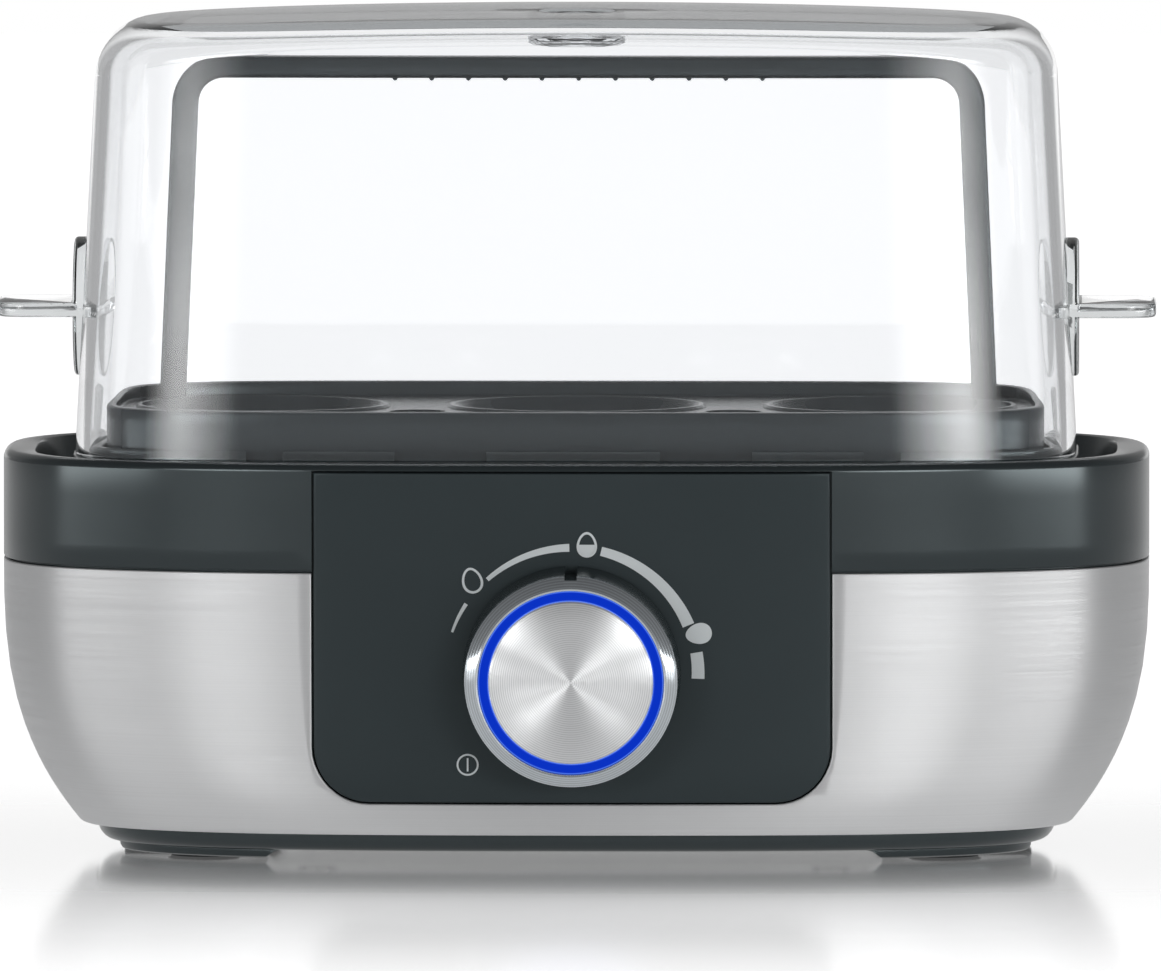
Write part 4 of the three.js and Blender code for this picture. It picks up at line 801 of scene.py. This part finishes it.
def tray():
    pan = tray_pan()
    seat_r, cup_r = CUP_SEAT_R + CUP_WALL, CUP_R + CUP_WALL
    shell = [(0, CUP_SEAT_Z), (seat_r - 0.3, CUP_SEAT_Z), (seat_r, CUP_SEAT_Z + 0.3)]
    shell += [(cup_r, TRAY_FLOOR_Z - 0.5), (cup_r, TRAY_FLOOR_Z + 0.1), (cup_r - 0.35, TRAY_FLOOR_Z + 0.5)]
    shell += [(CUP_R + 0.45, TRAY_FLOOR_Z + 0.5), (0, TRAY_FLOOR_Z + 0.5)]
    bore = [(0, CUP_SEAT_Z - 4), (CUP_SEAT_R, CUP_SEAT_Z - 4), (CUP_SEAT_R, CUP_SEAT_Z + 0.2)]
    bore += [(CUP_SEAT_R + 0.2, CUP_SEAT_Z + 0.5), (CUP_R - 0.2, TRAY_FLOOR_Z - 0.3)]
    bore += [(CUP_R + 0.15, TRAY_FLOOR_Z + 0.25), (CUP_R + 0.6, TRAY_FLOOR_Z + 0.7), (0, TRAY_FLOOR_Z + 0.7)]
    cups, bores = [], []
    for i in (-1, 0, 1):
        at = (i * EGG_PITCH, 0)
        cups.append(spin("cup", shell, 72, BODY_PLACE, at))
        bores.append(spin("bore", bore, 72, BODY_PLACE, at))
        for turn in (45, 135):
            bores.append(block("slot", (34, 3, 6), (*at, CUP_SEAT_Z - 1), turn=math.radians(turn)))
    post_low, post_high, socket_height = ARCH_FOOT_Z - 1.1, TRAY_FLOOR_Z + 0.3, 9
    posts, sockets = [], []
    for side in (-1, 1):
        x = side * (LEG_X + (LEG_TOP_Z - ARCH_FOOT_Z) * math.tan(ARCH_LEAN))
        size = (8.8, 9.2, post_high - post_low)
        posts.append(block("post", size, (x, ARCH_Y, (post_high + post_low) / 2)))
        size = (ARCH_LEG + 1, ARCH_DEPTH + 1, socket_height)
        sockets.append(block("socket", size, (x, ARCH_Y, ARCH_FOOT_Z - GAP + socket_height / 2)))
        at = (side * EGG_PITCH / 2, WATER_HOLE_Y)
        sockets.append(rod("hole", WATER_HOLE_R, 60, 78, 40, BODY_PLACE, at))
    unite(pan, *cups, *posts)
    done(carve(pan, *bores, *sockets), "carrier", "dark_plastic", "egg_tray", material=TRAY)


tray()


# Carrying arch

ARCH_TOP_Z, ARCH_HALF, ARCH_CORNER, ARCH_INNER_CORNER = 129, 67.6, 8.2, 4.4
RIB_PITCH, RIB_HALF, RIB_R, RIB_REACH = 6.05, 0.55, 0.4, 1.9


def arch():
    shoulder = ARCH_TOP_Z - ARCH_CORNER
    outer_foot = ARCH_HALF + (shoulder - ARCH_FOOT_Z) * math.tan(ARCH_LEAN)
    under = ARCH_TOP_Z - ARCH_BAR
    bend_x, bend_z = ARCH_HALF - ARCH_LEG - ARCH_INNER_CORNER, under - ARCH_INNER_CORNER
    shape = [(outer_foot, ARCH_FOOT_Z)]
    shape += arc(ARCH_HALF - ARCH_CORNER, shoulder, ARCH_CORNER, 0, 90, 12)
    shape += arc(-ARCH_HALF + ARCH_CORNER, shoulder, ARCH_CORNER, 90, 180, 12)
    shape += [(-outer_foot, ARCH_FOOT_Z), (-outer_foot + ARCH_LEG, ARCH_FOOT_Z)]
    shape += arc(-bend_x, bend_z, ARCH_INNER_CORNER, 180, 90, 10)
    shape += arc(bend_x, bend_z, ARCH_INNER_CORNER, 90, 0, 10)
    shape += [(outer_foot - ARCH_LEG, ARCH_FOOT_Z)]
    stand = BODY_PLACE @ Matrix.Translation((0, ARCH_Y * MM, 0)) @ UPRIGHT
    bar = softened(slab("lift_arch", shape, -ARCH_DEPTH / 2, ARCH_DEPTH / 2, stand), 0.8, 4, 50)
    ribs = []
    for i in range(11):
        x = (i - 5) * RIB_PITCH
        left, right = x - RIB_HALF, x + RIB_HALF
        rib = [(left, under + 0.3), (right, under + 0.3), (right, under)]
        rib += arc(x, under, RIB_R, 0, -180, 8) + [(left, under)]
        ribs.append(slab("rib", rib[::-1], -RIB_REACH, RIB_REACH, stand))
    done(unite(bar, *ribs), "carrier", "dark_plastic", "carry_arch", material=TRAY)


arch()


# Clear cover

GRIP_Z, GRIP_HALF, GRIP_HALF_HEIGHT, GRIP_PROUD = 88.9, 12.5, 11.4, 1.6
TAB_REACH, TAB_CORNER, TAB_HALF_WALL = 95.1, 5, 1.2
VENT_R, VENT_MOUTH_R, VENT_DEPTH, VENT_HOLE_R = 6, 7.2, 3.9, 1.8


def cover_rings(inset, low_z):
    """The top falls a little towards its ends, where its edge is rounder than along the sides."""
    shoulder = COVER_TOP_Z - COVER_CROWN - COVER_END_ROUND
    drawn = inset + COVER_DRAFT * (shoulder - SEAT_Z)
    wall_x, wall_y = COVER_HALF_X - drawn, COVER_HALF_Y - drawn
    end_round, side_round = COVER_END_ROUND - inset, COVER_SIDE_ROUND - inset

    def top_ring(half_x, half_y, drop):
        def height(x, _):
            round_here = side_round + (end_round - side_round) * min(1, abs(x) / half_x) ** COVER_POWER
            return COVER_TOP_Z - inset - COVER_CROWN * (x / COVER_HALF_X) ** 2 - round_here * drop

        return ring(half_x, half_y, COVER_POWER, height)

    rings = []
    for i in range(7):
        z = low_z + (shoulder - low_z) * i / 7
        rings.append(cover_ring(z, inset + COVER_DRAFT * (z - SEAT_Z)))
    for sin, cos in quarter(12):
        rings.append(top_ring(wall_x - end_round * (1 - cos), wall_y - side_round * (1 - cos), 1 - sin))
    for share in (0.92, 0.8, 0.65, 0.5, 0.35, 0.2, 0.08):
        rings.append(top_ring((wall_x - end_round) * share, (wall_y - side_round) * share, 0))
    return rings


def grip(side):
    """An oval plate on the cover's end and the tab that stands out of it."""
    root = COVER_HALF_X - COVER_WALL / 2 - COVER_DRAFT * (GRIP_Z - SEAT_Z)
    turned_round = BODY_PLACE @ Matrix.Rotation(0 if side > 0 else math.pi, 4, "Z")
    turns = [2 * math.pi * i / 64 for i in range(64)]
    oval = [(GRIP_HALF * math.cos(turn), GRIP_HALF_HEIGHT * math.sin(turn)) for turn in turns]
    upright = (
        turned_round
        @ Matrix.Translation((root * MM, 0, GRIP_Z * MM))
        @ Matrix.Rotation(math.pi / 2, 4, "Z")
        @ UPRIGHT
    )
    plate = softened(slab("plate", oval, 0, COVER_WALL / 2 + GRIP_PROUD, upright), 0.7, 4)
    shape = [(root, -GRIP_HALF)]
    shape += arc(TAB_REACH - TAB_CORNER, TAB_CORNER - GRIP_HALF, TAB_CORNER, -90, 0, 10)
    shape += arc(TAB_REACH - TAB_CORNER, GRIP_HALF - TAB_CORNER, TAB_CORNER, 0, 90, 10)
    shape += [(root, GRIP_HALF)]
    tab = slab("tab", shape, GRIP_Z - TAB_HALF_WALL, GRIP_Z + TAB_HALF_WALL, turned_round)
    return [plate, softened(tab, 0.5, 3)]


def dish(name, wall, top):
    """The dish of the vent. With no wall it is the inside, which is rounded over at its mouth."""
    floor_z, outer_r = COVER_TOP_Z - VENT_DEPTH - wall, VENT_R + wall
    profile = [(0, floor_z), (outer_r * 0.6, floor_z), (outer_r * 0.85, floor_z + 0.5)]
    profile.append((outer_r, floor_z + 1.8))
    if wall == 0:
        profile += [(VENT_R, COVER_TOP_Z - 0.9), (VENT_R + 0.15, COVER_TOP_Z - 0.45)]
        profile += [(VENT_R + 0.5, COVER_TOP_Z - 0.15), (VENT_MOUTH_R, COVER_TOP_Z)]
        outer_r = VENT_MOUTH_R
    return spin(name, [*profile, (outer_r, top), (0, top)], 64, BODY_PLACE)


def cover():
    low, above = SEAT_Z + GAP, COVER_TOP_Z + 5

    def inside():
        return loft("inside", cover_rings(COVER_WALL, low - 4))

    shell = loft("clear_hood", cover_rings(0, low))
    carve(shell, inside(), dish("dent", 0, above))
    well = carve(dish("well", COVER_WALL, COVER_TOP_Z - COVER_WALL / 2), dish("dent", 0, above))
    grips = [carve(body, inside()) for side in (-1, 1) for body in grip(side)]
    unite(shell, well, *grips)
    hole = rod("hole", VENT_HOLE_R, 128, 142, 32, BODY_PLACE)
    done(carve(shell, hole), "cover", "clear_plastic", "clear_cover", angle=30)


cover()


# Knob, along its own axis from the panel

KNOB_DEPTH, KNOB_BASE_R, KNOB_FRONT_R, KNOB_CLEAR = 10, 17.8, 17.4, 0.5
SIDE_INNER_R, BEZEL_INNER_R, CAP_R, CORE_R, HUB_R, SHAFT_R = 16.9, 15.1, 13.4, 16.6, 5.7, 3.3
SHOULDER_Z = KNOB_DEPTH - 1.4
GROOVE_WIDTH, GROOVE_DEPTH, GROOVE_FROM = 2, 3, 16.75


def pointer_groove():
    centre = (0, GROOVE_FROM + GROOVE_DEPTH / 2, 9)
    return block("groove", (GROOVE_WIDTH, GROOVE_DEPTH, 30), centre, KNOB_PLACE)


def knob_rim():
    """The bright bezel and the dark side behind it."""
    seam = SHOULDER_Z - 0.5
    side = [(SIDE_INNER_R, KNOB_CLEAR), (KNOB_BASE_R - 0.12, KNOB_CLEAR), (KNOB_BASE_R, KNOB_CLEAR + 0.15)]
    side += [(KNOB_FRONT_R + 0.05, seam), (SIDE_INNER_R, seam)]
    bezel = [(SIDE_INNER_R, seam), (KNOB_FRONT_R + 0.03, seam), (KNOB_FRONT_R + 0.02, SHOULDER_Z - 0.12)]
    bezel += [(KNOB_FRONT_R - 0.1, SHOULDER_Z + 0.08), (15.7, KNOB_DEPTH - 0.1), (15.5, KNOB_DEPTH)]
    bezel += [(BEZEL_INNER_R + 0.1, KNOB_DEPTH - 0.05), (BEZEL_INNER_R, KNOB_DEPTH - 0.25)]
    bezel += [(BEZEL_INNER_R, SHOULDER_Z), (SIDE_INNER_R, SHOULDER_Z)]
    done(carve(spin("knob_bezel", bezel, 192), pointer_groove()), "knob", "chrome", "knob_sleeve")
    done(carve(spin("knob_side", side, 192), pointer_groove()), "knob", "dark_plastic")


def knob_face():
    """The lit ring and the turned cap inside it."""
    inner, outer, front = GLOW_INNER_R, GLOW_OUTER_R, KNOB_DEPTH - 0.4
    glow = [(inner, front - 1), (outer, front - 1), (outer, front), (inner, front)]
    made = spin("glow_ring", rounded(glow, 0.12, 2, closed=True), 160)
    done(made, "knob", "lit_blue", "knob_light_ring")
    face = [(0, KNOB_DEPTH - 1.3), (CAP_R, KNOB_DEPTH - 1.3), (CAP_R, KNOB_DEPTH - 0.3)]
    face += [(CAP_R - 0.1, KNOB_DEPTH - 0.1), (CAP_R - 0.3, KNOB_DEPTH), (9, KNOB_DEPTH - 0.03)]
    face += [(4, KNOB_DEPTH - 0.08), (0.8, KNOB_DEPTH - 0.12), (0, KNOB_DEPTH - 0.15)]
    done(spin("knob_face", face, 160), "knob", "spun_aluminium", "knob_cap", angle=40)


def knob_body():
    cap_seat, pocket, wall = KNOB_DEPTH - 1.6, KNOB_DEPTH - 2.7, 1.5
    web, back, hub_z = cap_seat - wall, pocket - wall, 3.7
    core = [(0, web), (SHAFT_R, web), (SHAFT_R, hub_z), (HUB_R, hub_z), (HUB_R, back)]
    core += [(BEZEL_INNER_R, back), (BEZEL_INNER_R, KNOB_CLEAR), (CORE_R, KNOB_CLEAR)]
    core += [(CORE_R, SHOULDER_Z - GAP), (BEZEL_INNER_R, SHOULDER_Z - GAP), (BEZEL_INNER_R, pocket)]
    core += [(CAP_R, pocket), (CAP_R, cap_seat), (0, cap_seat)]
    done(spin("knob_body", core, 128), "knob", "dark_plastic", "knob_core")


knob_rim()
knob_face()
knob_body()


# Print on the panel: the clockwise scale, its egg signs and the switch sign

SCALE_R, EGG_LINE = 20.6, 0.4
SWITCH_X, SWITCH_Z, SWITCH_R, SWITCH_LINE = -17, 16.7, 1.8, 0.3
PRINT_SUNK, PRINT_PROUD = 0.02, 0.05


def strip(name, start, end, width_start, width_end, steps=24):
    """A band of the scale that grows from one width to another. Angles are clockwise from the top."""
    outer, inner = [], []
    for i in range(steps + 1):
        share = i / steps
        turn = math.radians(start + (end - start) * share)
        half = (width_start + (width_end - width_start) * share) / 2
        for side, row in ((half, outer), (-half, inner)):
            row.append(((SCALE_R + side) * math.sin(turn), KNOB_Z + (SCALE_R + side) * math.cos(turn)))
    return band(name, outer, inner)


def band(name, outer, inner, closed=False):
    """A thin printed band between two rows of points (x, z), which follows the panel."""
    count = len(outer)
    points = []
    for depth in (PRINT_SUNK, -PRINT_PROUD):
        for row in (outer, inner):
            points.extend((x, front_y(x, z, depth), z) for x, z in row)
    faces = []
    for i in range(count if closed else count - 1):
        j = (i + 1) % count
        faces.append((i, j, count + j, count + i))
        faces.append((2 * count + i, 3 * count + i, 3 * count + j, 2 * count + j))
        faces.append((i, 2 * count + i, 2 * count + j, j))
        faces.append((count + i, count + j, 3 * count + j, 3 * count + i))
    if not closed:
        for i in (0, count - 1):
            faces.append((i, count + i, 3 * count + i, 2 * count + i))
    return make(name, points, faces)


def egg(cx, cz, width, height, turn=0, grow=0.0, top=math.inf):
    """The outline of an egg sign, its blunt end down before it is turned, and cut off at its top."""
    points = []
    taper = 0.16
    for i in range(40):
        angle = 2 * math.pi * i / 40
        x = (width / 2 + grow) * math.sin(angle) * (1 - taper * math.cos(angle))
        z = min((height / 2 + grow) * math.cos(angle), top)
        cos, sin = math.cos(turn), math.sin(turn)
        points.append((cx + x * cos - z * sin, cz + x * sin + z * cos))
    return points


def filled(name, flat):
    return mapped(name, [(flat, PRINT_SUNK), (flat, -PRINT_PROUD)], steps=3)


def egg_line(name, *sizes, turn=0):
    return band(name, egg(*sizes, turn), egg(*sizes, turn, -EGG_LINE), closed=True)


def prints():
    soft, medium, hard = (-16.2, 47.0, 3.4, 4.3), (2.5, 52.9, 3.3, 4.2), (20.7, 38.3, 3.4, 4.3)
    marks = [
        strip("scale_1", -71, -56.5, 0.4, 0.65),
        strip("scale_2", -41.8, -1, 0.7, 1.3, 32),
        strip("scale_3", 13.5, 67.5, 1.5, 2.0, 40),
        strip("scale_4", 80.5, 92.5, 2.0, 2.1, 10),
        egg_line("egg_1", *soft, turn=0.25),
        egg_line("egg_2", *medium),
        filled("egg_3", egg(*medium, grow=-0.3, top=0.0)),
        filled("egg_4", egg(*hard, math.radians(100))),
    ]
    circles = [arc(SWITCH_X, SWITCH_Z, SWITCH_R - sunk, 0, 360, 40)[:-1] for sunk in (0, SWITCH_LINE)]
    marks.append(band("switch_ring", *circles, closed=True))
    left, right, low, high = SWITCH_X - 0.14, SWITCH_X + 0.14, SWITCH_Z - 1.1, SWITCH_Z + 1.1
    marks.append(filled("switch_bar", [(left, low), (right, low), (right, high), (left, high)]))
    for mark in marks:
        mark.name = f"print_{mark.name}"
        done(mark, "housing", "panel_plastic", material=PRINT)


prints()


# Cord gland


def gland():
    bore_r, neck_r, flange_r, wall, flange_z, back_z = 3.6, GLAND_BORE_R - GAP, 7, 0.3, 1.5, -7
    profile = [(bore_r, back_z), (neck_r, back_z), (neck_r, wall), (flange_r, wall)]
    profile += [(flange_r, flange_z), (bore_r, flange_z)]
    made = spin("cord_bush", rounded(profile, 0.5, 3, closed=True), 64, GLAND_PLACE)
    done(made, "housing", "rubber", "cord_gland")


gland()


# Floor, light and camera

# How much the floor mirrors at distances from the body's middle
FLOOR_MIRROR = ((52, 0.95), (118, 0.68), (208, 0.38), (264, 0.26), (600, 0.04))
FLOOR_R, FLOOR_TOP, FLOOR_LOW, FLOOR_LIFT = 2600, -0.02, -0.6, 0.95
FLOOR_STRETCH = (0.35, 1, 0)
WORLD_LOW, WORLD_HIGH = (0.28, 0.28, 0.2828), (0.16, 0.16, 0.1616)
CARD_SIZE, CARD_CENTRE, CARD_LEVEL = (2400, 10, 900), (0, 1000, 590), 0.26


def world():
    """White to the camera and behind the boiler, and a dim grey round it that lights it a little."""
    scene = bpy.context.scene
    scene.world = bpy.data.worlds.new("studio")
    scene.world.use_nodes = True
    tree = scene.world.node_tree
    way = add(tree, "SeparateXYZ", Vector=add(tree, "TexCoord").outputs["Generated"]).outputs
    path = add(tree, "LightPath").outputs
    behind = spread(way["Y"], 0, 1, (0.9, 0.96))
    mirrored = combined("MULTIPLY", behind, path["Is Glossy Ray"])
    middle = spread(combined("ABSOLUTE", way["X"], 0), 1, 0, (0.3, 0.5))
    away = spread(way["Y"], 0, 1, (0, 0.1))
    ahead = combined("MAXIMUM", combined("MULTIPLY", middle, away), 0.3)
    through = combined("MULTIPLY", ahead, path["Is Transmission Ray"])
    screen = combined("MAXIMUM", mirrored, through)
    seen = combined("MAXIMUM", path["Is Camera Ray"], screen)
    height = spread(way["Z"], 0, 1, (-1, 1))
    mixed = add(tree, "Mix", data_type="RGBA", Factor=seen)
    give(mixed.inputs[6], ramped(height, ((0.45, WORLD_LOW), (1.0, WORLD_HIGH))))
    give(mixed.inputs[7], (1, 1, 1, 1))
    feed(tree.nodes["Background"], Color=mixed.outputs[2])


def floor():
    """A pale floor that mirrors what stands on it, less with the distance from it."""
    obj = rod("floor", FLOOR_R, FLOOR_LOW, FLOOR_TOP, 96, BODY_PLACE)
    material, tree, shader = nodes_of("floor_pale")
    path = add(tree, "LightPath").outputs
    seen = combined("MAXIMUM", path["Is Camera Ray"], path["Is Transmission Ray"])
    seen = combined("MAXIMUM", seen, combined("MULTIPLY", path["Is Glossy Ray"], 0.45))
    lift = combined("MULTIPLY", seen, FLOOR_LIFT)
    feed(shader, Base_Color=(0.86, 0.86, 0.865, 1), Roughness=0.6, Specular_IOR_Level=0.0)
    feed(shader, Emission_Color=(1, 1, 1, 1), Emission_Strength=lift)
    reach = FLOOR_MIRROR[-1][0]
    stops = [(far / reach, (level, level, level)) for far, level in FLOOR_MIRROR]
    across = spread(distance(tree, FLOOR_STRETCH), 0, 1, (0, reach * MM))
    direct = spread(path["Is Glossy Ray"], 1, 0.2, (0, 1))
    mirroring = combined("MULTIPLY", ramped(across, stops, "B_SPLINE"), direct)
    mirror = add(tree, "BsdfAnisotropic", Roughness=0.1, Color=(0.92, 0.92, 0.92, 1))
    blended(tree, mirroring, shader, mirror)
    obj.data.materials.append(material)


def dark_card():
    """Stands behind and above the cover and shows only as its reflection in the cover's top."""
    obj = block("card", CARD_SIZE, CARD_CENTRE)
    material, _, shader = nodes_of("card_grey")
    feed(shader, Base_Color=(0.1, 0.1, 0.1, 1), Roughness=0.9)
    feed(shader, Emission_Color=(1, 1, 1, 1), Emission_Strength=CARD_LEVEL)
    obj.data.materials.append(material)
    obj.visible_camera = obj.visible_transmission = obj.visible_diffuse = False


def lamp(name, azimuths, away, low, high, level, soft=0.45):
    """An upright lamp between two azimuths, in degrees from the camera's side, clockwise seen from above.
    Lengths are in metres. Its level is its brightness next to that of pure white, and soft is the share
    of it that fades out at each edge."""
    ends = []
    for azimuth in azimuths:
        turn = math.radians(azimuth)
        ends.append(Vector((-away * math.sin(turn), -away * math.cos(turn), (low + high) / 2)))
    wide, tall = (ends[1] - ends[0]).length, high - low
    light = bpy.data.lights.new(name, "AREA")
    light.shape, light.size, light.size_y = "RECTANGLE", wide, tall
    light.energy = level * math.pi * wide * tall
    light.use_nodes = True
    tree = light.node_tree
    spot = add(tree, "SeparateXYZ", Vector=add(tree, "NewGeometry").outputs["Parametric"]).outputs
    across, upward = (
        spread(combined("PINGPONG", spot[axis], 0.5), 0, 1, (0, soft)) for axis in "XY"
    )
    feed(tree.nodes["Emission"], Strength=combined("MULTIPLY", across, upward))
    obj = put(name, light)
    obj.location = (ends[0] + ends[1]) / 2
    obj.rotation_euler = Vector((-obj.location.x, -obj.location.y, 0)).to_track_quat("-Z", "Y").to_euler()


def lamps():
    """Two softboxes for the metal, two that veil the cover's ends, and two strips for the body's ends."""
    lamp("left_softbox", (12, 44), 3.0, 0.30, 0.75, 10.5)
    lamp("right_softbox", (-9, -42), 3.0, 0.30, 0.75, 12.2)
    lamp("left_veil", (16.5, 46), 0.9, 0.05, 0.20, 5.6)
    lamp("right_veil", (-12, -44.5), 0.9, 0.04, 0.20, 7.9)
    lamp("left_strip", (44, 90), 0.8, 0.0, 0.08, 4.6, 0.12)
    lamp("right_strip", (-42, -86), 0.8, 0.0, 0.08, 7.6, 0.12)


def camera():
    """Aims at a point on the body's middle plane. The scale is in picture pixels per millimetre there."""
    picture_width, pixels_per_mm, away, sensor = 1161, 6.09, 6000, 36
    azimuth, elevation = math.radians(1.0), math.radians(3.65)
    aim = Vector((0.6 * MM, BODY_Y, 59.4 * MM))
    level = math.cos(elevation)
    back = Vector((math.sin(azimuth) * level, -math.cos(azimuth) * level, math.sin(elevation)))
    data = bpy.data.cameras.new("camera")
    data.sensor_width, data.lens = sensor, pixels_per_mm * away * sensor / picture_width
    data.clip_start, data.clip_end = 0.05, 60
    obj = put("camera", data)
    obj.location = aim + back * away * MM
    obj.rotation_euler = (-back).to_track_quat("-Z", "Y").to_euler()
    bpy.context.scene.camera = obj


world()
floor()
dark_card()
lamps()
camera()
bpy.context.scene.view_settings.view_transform = "Standard"
